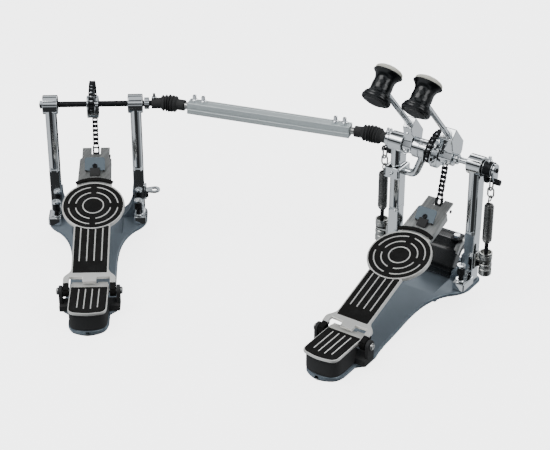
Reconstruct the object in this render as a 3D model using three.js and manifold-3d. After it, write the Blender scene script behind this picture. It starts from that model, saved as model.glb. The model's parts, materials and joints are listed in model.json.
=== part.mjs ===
// Double bass drum pedal: a main pedal that clamps to the drum's hoop, a slave pedal for the other
// foot, and the telescopic drive shaft that carries the slave pedal's stroke to a second beater.
// Millimetres, +Z up. Origin on the floor under the middle of the main axle, +X along that axle,
// +Y towards the drum.
import * as THREE from 'three';
import { mergeVertices } from 'three/addons/utils/BufferGeometryUtils.js';
import Module from 'manifold-3d';

const wasm = await Module();
wasm.setup();

// ---------------------------------------------------------------- driving dimensions
const gap = 0.3; // between pieces that touch
const runningGap = 0.5; // between a piece that turns and its seat

// Frame
const postSpacing = 120; // between the two posts' centre lines
const axleHeight = 201.3;
const axleRadius = 4.2;
const housingRadius = 13.6;
const housingLength = 21;
const housingEnd = postSpacing / 2 + housingLength / 2;
const postWidth = 15;
const postDepth = 18;
const postSplitHeight = 99; // where the round front ridge ends
const plateThickness = 7;
const lobeHalfWidth = postSpacing / 2 + 11;
const lobeFront = 62;
const lobeEnd = 15; // the lobes stop just in front of the posts
const lobeBack = -36;
const lobeLift = 18; // the lobes' underside above the floor; the plate ramps up to them from the heel
const lobeTop = lobeLift + plateThickness;
const rampFrom = -175;
const rampTo = -45;
const channelHalfWidth = 33; // the low middle part between the lobes, which stands on the floor
const channelBack = -60;
const waistHalfWidth = 32;
const heelHalfWidth = 26;
const heelBack = -289;

// Footboard, in its own frame: s runs from the hinge axis to the toe, t is square to the board
const hingeY = -227;
const hingeHeight = 32;
const pinRadius = 2.8;
const boardIncline = THREE.MathUtils.degToRad(18.4);
const boardTop = 9.9;
const boardThickness = 5;
const boardHalfWidth = 25.3;
const earOuter = 35.8;
const earInner = 27.6;
const discAt = 146.4;
const discRadius = 44.1;
const boardEnd = 188;
const toeLength = 72.5;
const toeHalfWidth = 22.6;
const toeTipHalfWidth = 19.6;
const toeTipLength = 20;
const hookAt = 254;
const hookSlotHalfWidth = 6.4;

// Heel rest
const heelPlateTop = 36.5;
const heelPlateThickness = 4;
const heelPlateFront = -204.5;
const heelPlateBack = -292;
const heelPlateHalfWidth = 26;
const lugThickness = 5;

// Chain and sprocket
const chainPitch = 6.35;
const sprocketTeeth = 30;
const pitchRadius = chainPitch / (2 * Math.sin(Math.PI / sprocketTeeth));
const chainHeight = 5.4;
const chainWidth = 7.8;
const chainStartAngle = 195; // degrees up and over from the drum side, where the chain is clamped
const chainRoll = 57; // degrees of chain that leave the sprocket in a full stroke

// Beaters
const beaterLean = THREE.MathUtils.degToRad(42.3);
const rodOffset = 19.6; // rod's axis in front of the axle's
const rodRadius = 3.9;
const headAt = 140.7; // head's axis, along the rod from the axle
const rimRadius = 20;
const headHalfLength = 20;
const feltDome = 8.5;
const mainHubX = [chainWidth / 2 + 2.7, chainWidth / 2 + 22.7];
const secondHubWidth = 13.7;
const secondHubStart = housingLength - housingEnd + 0.6;
const secondHubX = [secondHubStart, secondHubStart + secondHubWidth];
const centreHousingX = [secondHubX[1] + 1.6, -chainWidth / 2 - 3.7]; // the second bearing fills what the hub leaves

// Return springs
const springX = postSpacing / 2 + 22; // each spring's axis, from the pedal's middle
const camPinDrop = 17.8; // spring pin below the axle
const anchorHeight = axleHeight - 139.3;
const springOuter = 6.8;
const springLength = 60;
const springTop = axleHeight - 51.3;
const springBottom = springTop - springLength;
const nutRadius = 9;

// Drive shaft
const slaveTurn = THREE.MathUtils.degToRad(36.3); // slave's axle from the main pedal's
const shaftTurn = THREE.MathUtils.degToRad(15.463); // shaft from the main pedal's axle
const slaveJointX = postSpacing / 2 + 46.4; // universal joint's centre along the slave's axle
const mainJointX = -postSpacing / 2 - 41.4; // and along the main pedal's
const tubeLength = 238;
const rodShowing = 31.42; // from each joint's centre to the tube
const rodInTube = 62;
const tubeSide = 17;
const jointRodRadius = 5;
const bootRadius = 14.4;
const cuffRadius = 7.8;
const bootOnAxle = 23.4; // boot's reach from the joint's centre, along the axle
const bootOnShaft = 25.6; // and along the shaft
const cuffEnd = -mainJointX - bootOnAxle;

// ---------------------------------------------------------------- materials
const material = (color, roughness, metalness) => (
  () => new THREE.MeshStandardMaterial({ color, roughness, metalness })
);
const chrome = material(0xd8dde0, 0.12, 1);
const steel = material(0x8d9494, 0.35, 1);
const darkSteel = material(0x2b2e30, 0.4, 0.9);
const painted = material(0x47525c, 0.45, 0.3);
const silver = material(0xb9c1c2, 0.3, 0.9);
const aluminium = material(0xb7c4bf, 0.4, 0.8);
const rubber = material(0x151617, 0.8, 0);
const plastic = material(0x101214, 0.35, 0);
const feltCream = material(0xd9d6c4, 0.95, 0);

// ---------------------------------------------------------------- solids
function solid(geometry) {
  const bare = geometry.clone();
  for (const name of ['normal', 'uv']) bare.deleteAttribute(name);
  const merged = mergeVertices(bare, 1e-4);
  return new wasm.Manifold(new wasm.Mesh({
    numProp: 3,
    vertProperties: merged.attributes.position.array,
    triVerts: new Uint32Array(merged.index.array),
  }));
}

function geometryOf(manifold) {
  const mesh = manifold.getMesh();
  const geometry = new THREE.BufferGeometry();
  geometry.setAttribute('position', new THREE.BufferAttribute(mesh.vertProperties, 3));
  geometry.setIndex(new THREE.BufferAttribute(mesh.triVerts, 1));
  const flat = geometry.toNonIndexed();
  flat.computeVertexNormals();
  return flat;
}

function join(...pieces) {
  return geometryOf(pieces.map(solid).reduce((whole, piece) => whole.add(piece)));
}

function cut(body, ...tools) {
  return geometryOf(tools.map(solid).reduce((left, tool) => left.subtract(tool), solid(body)));
}

function box([x0, x1], [y0, y1], [z0, z1]) {
  return new THREE.BoxGeometry(x1 - x0, y1 - y0, z1 - z0)
    .translate((x0 + x1) / 2, (y0 + y1) / 2, (z0 + z1) / 2);
}

// A round bar from one point to another.
function bar(from, to, radius, sides = 16) {
  const a = new THREE.Vector3(...from);
  const b = new THREE.Vector3(...to);
  const along = b.clone().sub(a);
  const turn = new THREE.Quaternion().setFromUnitVectors(
    new THREE.Vector3(0, 1, 0), along.clone().normalize());
  const middle = a.add(b).multiplyScalar(0.5);
  return new THREE.CylinderGeometry(radius, radius, along.length(), sides)
    .applyQuaternion(turn).translate(...middle);
}

const barX = (radius, [x0, x1], y, z, sides) => bar([x0, y, z], [x1, y, z], radius, sides);
const barZ = (radius, [z0, z1], x, y, sides) => bar([x, y, z0], [x, y, z1], radius, sides);

// A profile of [radius, height] points, closed on itself or on the axis, turned about Z.
function turned(profile, sides = 24) {
  const points = profile.map(([r, z]) => new THREE.Vector2(r, z));
  return new THREE.LatheGeometry(points, sides).rotateX(Math.PI / 2);
}

// The same, turned about the X axis, its heights running along +X.
const turnedX = (profile, sides) => turned(profile, sides).rotateY(Math.PI / 2);

// A ring with square edges about Z, from one height to the other.
function ringProfile(inner, outer, low, high) {
  return [[inner, low], [outer, low], [outer, high], [inner, high], [inner, low]];
}

const outline = (points) => new THREE.Shape(points.map(([u, v]) => new THREE.Vector2(u, v)));

function extruded(shape, depth, curveSegments = 8) {
  return new THREE.ExtrudeGeometry(shape, { depth, bevelEnabled: false, curveSegments });
}

// A flat outline in X and Y, standing from z0 to z1.
function slab(shape, [z0, z1], curveSegments) {
  return extruded(shape, z1 - z0, curveSegments).translate(0, 0, z0);
}

// A flat outline in Y and Z, running from x0 to x1.
function across(shape, [x0, x1], curveSegments) {
  const turn = new THREE.Matrix4().makeBasis(
    new THREE.Vector3(0, 1, 0), new THREE.Vector3(0, 0, 1), new THREE.Vector3(1, 0, 0));
  return extruded(shape, x1 - x0, curveSegments).applyMatrix4(turn).translate(x0, 0, 0);
}

// A flat outline in X and Z, running from y0 to y1.
function deep(shape, [y0, y1], curveSegments) {
  const turn = new THREE.Matrix4().makeBasis(
    new THREE.Vector3(1, 0, 0), new THREE.Vector3(0, 0, 1), new THREE.Vector3(0, -1, 0));
  return extruded(shape, y1 - y0, curveSegments).applyMatrix4(turn).translate(0, y1, 0);
}

// A sector of a ring about the X axis, its angles in degrees up from the drum side.
function sector(inner, outer, from, to, [x0, x1]) {
  const shape = new THREE.Shape();
  const [a, b] = [from, to].map(THREE.MathUtils.degToRad);
  shape.absarc(0, 0, outer, a, b, false);
  shape.absarc(0, 0, inner, b, a, true);
  const steps = Math.max(4, Math.round((to - from) / 9));
  return across(shape, [x0, x1], steps);
}

function add(group, name, geometry, look) {
  const mesh = new THREE.Mesh(geometry, look());
  mesh.name = name;
  group.add(mesh);
}

const spread = (middle, width) => [middle - width / 2, middle + width / 2];
const mirrored = ([a, b], side) => (side > 0 ? [a, b] : [-b, -a]);

// ---------------------------------------------------------------- frame of one pedal
// Half of the base plate's outline, from the front edge round to the heel, on the right.
function baseOutline() {
  const shape = new THREE.Shape();
  const half = (side, moves) => moves.forEach(([kind, ...p]) => (
    shape[kind](...p.map((value, i) => (i % 2 ? value : value * side)))));
  const corner = 10;
  shape.moveTo(0, lobeFront);
  half(1, [
    ['lineTo', lobeHalfWidth - corner, lobeFront],
    ['quadraticCurveTo', lobeHalfWidth, lobeFront, lobeHalfWidth, lobeFront - corner],
    ['lineTo', lobeHalfWidth, lobeBack + 18],
    ['quadraticCurveTo', lobeHalfWidth - 2, lobeBack, lobeHalfWidth - 18, lobeBack - 13],
    ['bezierCurveTo', waistHalfWidth + 6, lobeBack - 32, waistHalfWidth, lobeBack - 55,
      waistHalfWidth, lobeBack - 95],
    ['lineTo', waistHalfWidth, hingeY + 55],
    ['quadraticCurveTo', waistHalfWidth + 1, hingeY + 35, waistHalfWidth + 6, hingeY + 22],
    ['lineTo', waistHalfWidth + 6, hingeY - 4],
    ['quadraticCurveTo', heelHalfWidth + 3, hingeY - 9, heelHalfWidth, hingeY - 14],
    ['lineTo', heelHalfWidth, heelBack + 24],
    ['quadraticCurveTo', heelHalfWidth, heelBack + 8, heelHalfWidth - 10, heelBack + 4],
  ]);
  shape.quadraticCurveTo(0, heelBack - 4, -(heelHalfWidth - 10), heelBack + 4);
  half(-1, [
    ['quadraticCurveTo', heelHalfWidth, heelBack + 8, heelHalfWidth, heelBack + 24],
    ['lineTo', heelHalfWidth, hingeY - 14],
    ['quadraticCurveTo', heelHalfWidth + 3, hingeY - 9, waistHalfWidth + 6, hingeY - 4],
    ['lineTo', waistHalfWidth + 6, hingeY + 22],
    ['quadraticCurveTo', waistHalfWidth + 1, hingeY + 35, waistHalfWidth, hingeY + 55],
    ['lineTo', waistHalfWidth, lobeBack - 95],
    ['bezierCurveTo', waistHalfWidth, lobeBack - 55, waistHalfWidth + 6, lobeBack - 32,
      lobeHalfWidth - 18, lobeBack - 13],
    ['quadraticCurveTo', lobeHalfWidth - 2, lobeBack, lobeHalfWidth, lobeBack + 18],
    ['lineTo', lobeHalfWidth, lobeFront - corner],
    ['quadraticCurveTo', lobeHalfWidth, lobeFront, lobeHalfWidth - corner, lobeFront],
  ]);
  return shape;
}

// The rising fillet that stiffens the base against a post, on one side.
function gusset(side) {
  const inner = postSpacing / 2 - postWidth / 2 - gap;
  const foot = channelHalfWidth;
  const shape = new THREE.Shape();
  shape.moveTo(foot * side, lobeTop - 1);
  shape.lineTo(inner * side, lobeTop - 1);
  shape.lineTo(inner * side, 66);
  shape.quadraticCurveTo((inner - 4) * side, lobeTop + 12, foot * side, lobeTop + 3);
  return deep(shape, [-13, 13], 5);
}

const spurPlace = (side) => [side * (postSpacing / 2 - 1), -25];
const spurRadius = 3;
const spurTravel = 7;
const lugTop = 37;

// The plate lies flat at the heel, ramps up, and runs level again under the posts, open between them
// over a channel that reaches down to the floor.
function basePlate(extras, holes) {
  const level = slab(baseOutline(), [0, plateThickness], 5);
  const below = [-1, plateThickness + 1];
  const part = (from, to) => geometryOf(solid(level).intersect(solid(box([-100, 100], [from, to], below))));
  const steepness = lobeLift / (rampTo - rampFrom);
  const shear = new THREE.Matrix4().set(
    1, 0, 0, 0, 0, 1, 0, 0, 0, steepness, 1, -steepness * rampFrom, 0, 0, 0, 1);
  const heel = part(heelBack - 20, rampFrom + 0.5);
  const ramp = part(rampFrom, rampTo).applyMatrix4(shear);
  const lobes = cut(part(rampTo - 0.5, lobeEnd).translate(0, 0, lobeLift),
    box([-channelHalfWidth, channelHalfWidth], [-20, 100], [0, 60]));
  const wall = 4;
  const outer = channelHalfWidth + wall;
  const channel = [
    box([-outer, outer], [channelBack, lobeFront], [0, plateThickness]),
    box([-outer, outer], [channelBack, channelBack + wall], [0, lobeLift]),
    ...[-1, 1].map((side) => box(mirrored([channelHalfWidth, outer], side), [channelBack, lobeFront],
      [0, lobeLift + 1])),
  ];
  const spurHoles = [-1, 1].map((side) => (
    barZ(spurRadius + runningGap, [-1, lobeTop + 1], ...spurPlace(side), 12)));
  return cut(join(heel, ramp, lobes, ...channel, gusset(-1), gusset(1), ...extras),
    ...spurHoles, ...holes);
}

// A post: round-fronted column, flat slotted shank, foot lug with the spur's thread, bearing housing.
function post(side) {
  const x = side * postSpacing / 2;
  const ridge = barZ(postWidth / 2, [postSplitHeight, axleHeight - 4], x, -postDepth / 2 + 4, 16);
  const back = box(spread(x, postWidth), [-postDepth / 2 + 4, postDepth / 2],
    [postSplitHeight, axleHeight - 4]);
  const shank = box(spread(x, postWidth), [-postDepth / 2, postDepth / 2],
    [lobeTop + gap, postSplitHeight + 1]);
  const lug = box(mirrored([postSpacing / 2 - postWidth / 2, postSpacing / 2 + postWidth / 2 + 3], side),
    [-37, -postDepth / 2 + 1], [lobeTop + gap, lugTop]);
  const housing = barX(housingRadius, spread(x, housingLength), 0, axleHeight, 20);
  const slot = box(spread(x, 40), [-6.5, -1.5], [anchorHeight - 16, anchorHeight + 23]);
  const notch = box(spread(x, 8), [-postDepth / 2 - 3, -postDepth / 2 + 2],
    [postSplitHeight + 1, postSplitHeight + 6]);
  const bore = barX(axleRadius + runningGap, spread(x, 60), 0, axleHeight, 20);
  const spurBore = barZ(spurRadius + runningGap, [0, 60], ...spurPlace(side), 12);
  return cut(join(ridge, back, shank, lug, housing), slot, notch, bore, spurBore);
}

// A spur: pointed screw with a coiled grip, turned down until it bites the carpet.
function spur(side) {
  const profile = [
    [0, 1.2], [spurRadius, 8], [spurRadius, lugTop + spurTravel], [5.4, lugTop + spurTravel + 1],
    [5.4, 56], [6.2, 57], [6.2, 60], [0, 60],
  ];
  return turned(profile, 14).translate(...spurPlace(side), 0);
}

const rodSeat = 4.4;

// The bracket on a post's slot that holds the end of a spring's rod, and its bolt.
function springAnchor(side) {
  const root = postSpacing / 2 + postWidth / 2 + gap;
  const end = springX;
  const ringOuter = 8.6;
  const wall = box(mirrored([root, root + 3], side), [-8, 4], [anchorHeight - 12, anchorHeight + 10]);
  const arm = box(mirrored([root + 1, end], side), [-6, 5], [anchorHeight - 1.5, anchorHeight + 1.5]);
  const eye = barZ(ringOuter, [anchorHeight - 1.5, anchorHeight + 1.5], side * end, 0, 20);
  const bolt = barX(2, mirrored([postSpacing / 2, root + 1], side), -4, anchorHeight - 6, 10);
  const head = barX(4, mirrored([root + 2, root + 4.4], side), -2, anchorHeight - 7, 6);
  const hole = barZ(rodSeat, [0, 200], side * end, 0, 16);
  return cut(join(wall, arm, eye, bolt, head), hole);
}

// ---------------------------------------------------------------- heel
const pinHeight = hingeHeight;
const lugInner = earOuter + 0.6;

function heelBlock() {
  const low = plateThickness + gap;
  const top = heelPlateTop - heelPlateThickness - gap;
  const block = box([-heelPlateHalfWidth + 1.5, heelPlateHalfWidth - 1.5], [heelBack + 6, hingeY - 12],
    [low, top]);
  const web = box([-lugInner - lugThickness, lugInner + lugThickness], [hingeY - 14, hingeY + 8],
    [low, low + 9]);
  const lugs = [-1, 1].map((side) => join(
    box(mirrored([lugInner, lugInner + lugThickness], side), [hingeY - 8, hingeY + 8],
      [low, pinHeight]),
    barX(8, mirrored([lugInner, lugInner + lugThickness], side), hingeY, pinHeight, 20)));
  const bore = barX(pinRadius + gap, [-60, 60], hingeY, pinHeight, 16);
  return cut(join(block, web, ...lugs), bore);
}

function heelPlate() {
  const shape = new THREE.Shape();
  const w = heelPlateHalfWidth;
  const tab = 10;
  shape.moveTo(-tab, heelPlateFront - 9);
  shape.lineTo(-tab, heelPlateFront);
  shape.lineTo(-w, heelPlateFront);
  shape.lineTo(-w, heelPlateBack + 14);
  shape.quadraticCurveTo(-w, heelPlateBack + 3, -w + 12, heelPlateBack + 2);
  shape.quadraticCurveTo(0, heelPlateBack - 2, w - 12, heelPlateBack + 2);
  shape.quadraticCurveTo(w, heelPlateBack + 3, w, heelPlateBack + 14);
  shape.lineTo(w, heelPlateFront);
  shape.lineTo(tab, heelPlateFront);
  shape.lineTo(tab, heelPlateFront - 9);
  const plate = slab(shape, [heelPlateTop - heelPlateThickness, heelPlateTop], 5);
  const boss = box([-w, w], [hingeY - 7, hingeY + 7], [pinHeight - 6, heelPlateTop - 1]);
  const bore = barX(pinRadius + gap, [-60, 60], hingeY, pinHeight, 16);
  return cut(join(plate, boss), bore);
}

function hingePin() {
  const reach = lugInner + lugThickness + gap;
  return join(
    barX(pinRadius, [-reach - 1, reach + 1], hingeY, pinHeight, 16),
    barX(5, [reach, reach + 3], hingeY, pinHeight, 16),
    barX(5, [-reach - 3, -reach], hingeY, pinHeight, 16));
}

// ---------------------------------------------------------------- footboard, in the board's frame
function footboard() {
  const low = boardTop - boardThickness;
  const shape = new THREE.Shape();
  const w = boardHalfWidth;
  const reach = Math.sqrt(discRadius ** 2 - (w - 0.6) ** 2);
  const turn = Math.asin(reach / discRadius);
  shape.moveTo(-w, 24);
  shape.lineTo(-w, discAt - reach);
  shape.absarc(0, discAt, discRadius, Math.PI + turn, Math.PI - turn, true);
  shape.lineTo(-w + 0.6, boardEnd - gap);
  shape.lineTo(w - 0.6, boardEnd - gap);
  shape.lineTo(w - 0.6, discAt + reach);
  shape.absarc(0, discAt, discRadius, turn, -turn, true);
  shape.lineTo(w, discAt - reach);
  shape.lineTo(w, 24);
  const board = slab(shape, [low, boardTop], 10);
  const flare = (side) => slab(outline([
    [side * (w - 4), 24], [side * (w - 4), 44], [side * w, 44], [side * earOuter, 14],
    [side * earOuter, -1], [side * earInner, -1], [side * earInner, 24]]), [low, boardTop]);
  const ear = (side) => barX(8, mirrored([earInner, earOuter], side), 0, 0, 20);
  const web = (side) => box(mirrored([earInner, earOuter], side), [-6, 12], [0, low + 1]);
  const bore = barX(pinRadius + runningGap, [-60, 60], 0, 0, 16);
  return cut(join(board, flare(-1), flare(1), ear(-1), ear(1), web(-1), web(1)), bore);
}

// The toe plate: bolted ahead of the board, narrowed at the tip and slotted for the chain's clip.
function toePlate() {
  const low = boardTop - boardThickness;
  const tip = boardEnd + toeLength;
  const step = tip - toeTipLength;
  const slotEnd = tip - 13;
  const right = [
    [hookSlotHalfWidth, slotEnd], [hookSlotHalfWidth, tip], [toeTipHalfWidth, tip],
    [toeTipHalfWidth, step], [toeHalfWidth, step - 3], [toeHalfWidth + 1.6, boardEnd + 0.3],
  ];
  const left = right.map(([x, s]) => [-x, s]).reverse();
  const plate = slab(outline([...left, ...right]), [low, boardTop]);
  const flange = (side) => box(mirrored([toeHalfWidth - 3.5, toeHalfWidth - 0.5], side),
    [boardEnd + 3, step - 3], [low - 7, low + 1]);
  return join(plate, flange(-1), flange(1));
}

// The toe stop: an arched bracket on a wedge, screwed to the toe plate.
function toeStop() {
  const arch = new THREE.Shape();
  arch.moveTo(-16, 0);
  arch.lineTo(16, 0);
  arch.lineTo(15, 6);
  arch.quadraticCurveTo(0, 17, -15, 6);
  const bracket = deep(arch, [-2, 2], 8).rotateX(0.5).translate(0, 230, boardTop + gap + 1);
  const foot = box([-16, 16], [206, 232], [boardTop + gap, boardTop + gap + 3]);
  const wedge = across(outline([[208, 1], [231, 1], [231, 9]]), [-12, 12])
    .translate(0, 0, boardTop + gap);
  const screw = barZ(3, [boardTop + gap + 1, boardTop + gap + 6.5], 0, 212, 10);
  const trim = box([-30, 30], [190, 260], [boardTop - 10, boardTop + gap]);
  return cut(join(bracket, foot, wedge, screw), trim);
}

// ---------------------------------------------------------------- sprocket and chain
// In the pedal's frame, the chain leaves the sprocket on the drum side and runs down to the hook.
const hook = {
  y: hingeY + hookAt * Math.cos(boardIncline) - (boardTop - 2.5) * Math.sin(boardIncline),
  z: hingeHeight + hookAt * Math.sin(boardIncline) + (boardTop - 2.5) * Math.cos(boardIncline),
};
const hookDistance = Math.hypot(hook.y, hook.z - axleHeight);
const hookAngle = Math.atan2(hook.z - axleHeight, hook.y);
const leaveAngle = THREE.MathUtils.radToDeg(hookAngle + Math.acos(pitchRadius / hookDistance));
const dropLength = Math.sqrt(hookDistance ** 2 - pitchRadius ** 2);

function sprocket(hubX) {
  const rim = pitchRadius - chainHeight / 2 - gap;
  const wheel = turnedX(ringProfile(axleRadius + gap, rim, -1.6, 1.6), 24);
  const cheeks = [-1, 1].map((side) => sector(11, rim + 4.5, 150, 200,
    mirrored([chainWidth / 2 + gap, chainWidth / 2 + 2], side)));
  const clampBar = sector(11, rim, 150, 200, spread(0, chainWidth + 3));
  const hub = turnedX(ringProfile(axleRadius + gap, 12, ...hubX), 16);
  return join(wheel, ...cheeks, clampBar, hub).translate(0, 0, axleHeight);
}

const chainInner = pitchRadius - chainHeight / 2;
const chainOuter = pitchRadius + chainHeight / 2;
const arcGap = THREE.MathUtils.radToDeg(gap / pitchRadius);

function chainWrap() {
  return sector(chainInner, chainOuter, leaveAngle + chainRoll, chainStartAngle,
    spread(0, chainWidth)).translate(0, 0, axleHeight);
}

function chainRollSegment() {
  return sector(chainInner, chainOuter, leaveAngle + arcGap, leaveAngle + chainRoll - arcGap,
    spread(0, chainWidth)).translate(0, 0, axleHeight);
}

// The straight run with the clip at its lower end, built down the Z axis from the leaving point.
function chainDrop() {
  const run = box(spread(0, chainWidth), spread(0, chainHeight), [-dropLength + 8, -gap]);
  const clip = box(spread(0, 9.6), spread(0, 8), [-dropLength - 4, -dropLength + 14]);
  const lean = THREE.MathUtils.degToRad(leaveAngle);
  return join(run, clip).rotateX(lean)
    .translate(0, pitchRadius * Math.cos(lean), axleHeight + pitchRadius * Math.sin(lean));
}

// ---------------------------------------------------------------- one pedal
function buildPedal(group, name, { extras = [], holes = [], axle, sprocketHub }) {
  add(group, `${name}_base_plate`, basePlate(extras, holes), painted);
  for (const [label, side] of [['left', -1], ['right', 1]]) {
    add(group, `${name}_${label}_post`, post(side), chrome);
    add(group, `${name}_${label}_spur`, spur(side), darkSteel);
  }
  add(group, `${name}_heel_block`, heelBlock(), plastic);
  add(group, `${name}_heel_plate`, heelPlate(), silver);
  add(group, `${name}_hinge_pin`, hingePin(), steel);
  const board = new THREE.Group();
  board.position.set(0, hingeY, hingeHeight);
  board.rotation.x = boardIncline;
  add(board, `${name}_footboard`, footboard(), silver);
  add(board, `${name}_toe_plate`, toePlate(), steel);
  add(board, `${name}_toe_stop`, toeStop(), painted);
  group.add(board);
  add(group, `${name}_axle`, axle, darkSteel);
  add(group, `${name}_sprocket`, sprocket(sprocketHub), chrome);
  add(group, `${name}_chain_wrap`, chainWrap(), darkSteel);
  add(group, `${name}_chain_roll`, chainRollSegment(), darkSteel);
  add(group, `${name}_chain_drop`, chainDrop(), darkSteel);
}

// ---------------------------------------------------------------- universal joints and shaft
const forkReach = 12; // from the joint's centre back to the fork's root
const forkInner = 7.7;
const forkOuter = 10;

// A fork about the origin, opening towards +X, its two ears across the axis turned by `roll`.
function fork(roll) {
  const ears = [-1, 1].map((side) => box([-forkReach, 4],
    side > 0 ? [forkInner, forkOuter] : [-forkOuter, -forkInner], [-3, 3]));
  const root = box([-forkReach - 2, -forkReach + 2], [-forkOuter, forkOuter], [-3, 3]);
  return join(...ears, root).rotateX(roll);
}

function slaveAxle() {
  const end = slaveJointX - forkReach - 1;
  return join(
    barX(axleRadius, [-housingEnd - 1.5, end], 0, axleHeight, 20),
    barX(6.4, [-housingEnd - 4.9, -housingEnd - 0.5], 0, axleHeight, 6),
    barX(8.4, [housingEnd + 2, housingEnd + 9.1], 0, axleHeight, 20),
    fork(0).translate(slaveJointX, 0, axleHeight));
}

function mainAxle() {
  const start = (centreHousingX[0] + centreHousingX[1]) / 2 + gap;
  return join(
    barX(axleRadius, [start, springX + 7], 0, axleHeight, 20),
    barX(7, [mainHubX[1] + 1.2, mainHubX[1] + 6], 0, axleHeight, 16));
}

function secondAxle() {
  const end = (centreHousingX[0] + centreHousingX[1]) / 2 - gap;
  return join(
    barX(axleRadius, [mainJointX + forkReach, end], 0, axleHeight, 20),
    fork(0).rotateZ(Math.PI).translate(mainJointX, 0, axleHeight));
}

// A joint rod: fork, cross and the round rod that slides into the drive tube, along +X.
function jointRod(length) {
  const crossArm = forkInner - 0.7;
  const inTube = join(
    fork(Math.PI / 2),
    barX(jointRodRadius, [-length, -forkReach], 0, 0, 16));
  const cross = join(
    bar([0, 0, -forkInner - 0.5], [0, 0, forkInner + 0.5], 2, 10),
    bar([0, -crossArm, 0], [0, crossArm, 0], 2, 10),
    barX(3.6, [-3.4, 3.4], 0, 0, 12));
  return join(inTube, cross);
}

// Half of a rubber boot along +X from the joint's centre: ribs, then a plain cuff.
function bootHalf(length, cuffBore) {
  const ribs = 3;
  const ribStep = 5.4;
  const ribTaper = 0.3;
  const inner = forkOuter + 1.6;
  const profile = [[inner, -1]];
  for (let i = 0; i < ribs; i += 1) {
    const start = i * ribStep;
    profile.push([inner + 1.6, start], [bootRadius - i * ribTaper, start + ribStep / 2]);
  }
  const shoulder = ribs * ribStep + 1;
  profile.push([inner + 1.2, shoulder - 1], [cuffRadius, shoulder], [cuffRadius, length],
    [cuffBore, length],
    [cuffBore, shoulder - 1.2], [inner, shoulder - 2.6], [inner, -1]);
  return turnedX(profile, 14);
}

// The boot over a joint: one half along the pedal's axle, the other along the shaft.
function boot(towardsAxle, towardsShaft) {
  const place = (geometry, direction) => {
    const turn = new THREE.Quaternion().setFromUnitVectors(new THREE.Vector3(1, 0, 0), direction);
    return geometry.applyQuaternion(turn);
  };
  const axleHalf = place(bootHalf(bootOnAxle, axleRadius + gap), towardsAxle);
  const shaftHalf = place(bootHalf(bootOnShaft, jointRodRadius + gap), towardsShaft);
  const inside = new THREE.SphereGeometry(forkOuter + 1.9, 10, 6);
  return cut(join(axleHalf, shaftHalf), inside);
}

const mainJoint = new THREE.Vector3(mainJointX, 0, axleHeight);
const shaftAxis = new THREE.Vector3(Math.cos(shaftTurn), Math.sin(shaftTurn), 0);
const slaveAxis = new THREE.Vector3(Math.cos(slaveTurn), Math.sin(slaveTurn), 0);
const jointDistance = tubeLength + 2 * rodShowing;
const slaveJoint = mainJoint.clone().addScaledVector(shaftAxis, -jointDistance);

function driveTube() {
  const ends = [rodShowing, rodShowing + tubeLength];
  const screwAt = [9, 22].flatMap((back) => [ends[0] + back, ends[1] - back]);
  const screws = screwAt.map((x) => barZ(3, [tubeSide / 2 - 1, tubeSide / 2 + 9], x, 0, 10));
  const body = box(ends, spread(0, tubeSide), spread(0, tubeSide));
  return cut(join(body, ...screws), barX(jointRodRadius + gap, [0, jointDistance], 0, 0, 16));
}

function shaftPieces(root) {
  const shaft = new THREE.Group(); // +X from the slave's joint to the main pedal's
  shaft.position.copy(slaveJoint);
  shaft.rotation.z = shaftTurn;
  const rod = () => jointRod(rodShowing + rodInTube);
  add(shaft, 'drive_tube', driveTube(), aluminium);
  add(shaft, 'main_joint_rod', rod().translate(jointDistance, 0, 0), steel);
  add(shaft, 'slave_joint_rod', rod().rotateZ(Math.PI), steel);
  root.add(shaft);
  add(root, 'slave_joint_boot',
    boot(slaveAxis.clone().negate(), shaftAxis).translate(...slaveJoint), rubber);
  add(root, 'main_joint_boot',
    boot(new THREE.Vector3(1, 0, 0), shaftAxis.clone().negate()).translate(...mainJoint), rubber);
}

// ---------------------------------------------------------------- beaters, in the lean frame
function beaterHub([x0, x1]) {
  const block = across(outline([
    [9, 24], [12, 30], [29.5, 30], [28.5, -3], [17, -12], [0, -12.5], [-9, -8], [-11, 0],
    [-8, 9], [2, 12]]), [x0, x1]);
  const bore = barX(axleRadius + gap, [-200, 200], 0, 0, 20);
  const rodBore = barZ(rodRadius + gap, [-8, 60], (x0 + x1) / 2, rodOffset, 16);
  const screw = barX(3, [x1 - 1, x1 + 1], -4, 0, 8);
  return cut(join(block, screw), bore, rodBore);
}

function beaterRod(x) {
  return barZ(rodRadius, [-6, headAt + 6], x, rodOffset, 16);
}

// The head about its own middle, its felt towards +Y.
function beaterHead() {
  const half = headHalfLength;
  const profile = [
    [0, -half - 3.6], [14.5, -half - 3.6], [16, -half - 1.5], [19, -half - 1], [rimRadius, -half + 3],
    [17.5, -half + 7], [14.5, -10], [13.2, -6], [14, 0], [13.2, 6], [13.6, 10], [16, half - 5],
    [rimRadius, half - 1.5], [rimRadius, half], [0, half],
  ];
  const body = turned(profile, 18).rotateX(-Math.PI / 2);
  return cut(body, barZ(rodRadius + gap, [-60, 7], 0, 0, 16));
}

function beaterFelt() {
  const half = headHalfLength + gap;
  const r = rimRadius - 1.5;
  const profile = [[0, half], [r, half], [r, half + 2.5]];
  for (const turn of [0.2, 0.45, 0.7, 1]) {
    const angle = turn * Math.PI / 2;
    profile.push([r * Math.cos(angle), half + 2.5 + (feltDome - 2.5) * Math.sin(angle)]);
  }
  profile[profile.length - 1][0] = 0;
  return turned(profile, 18).rotateX(-Math.PI / 2);
}

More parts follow.
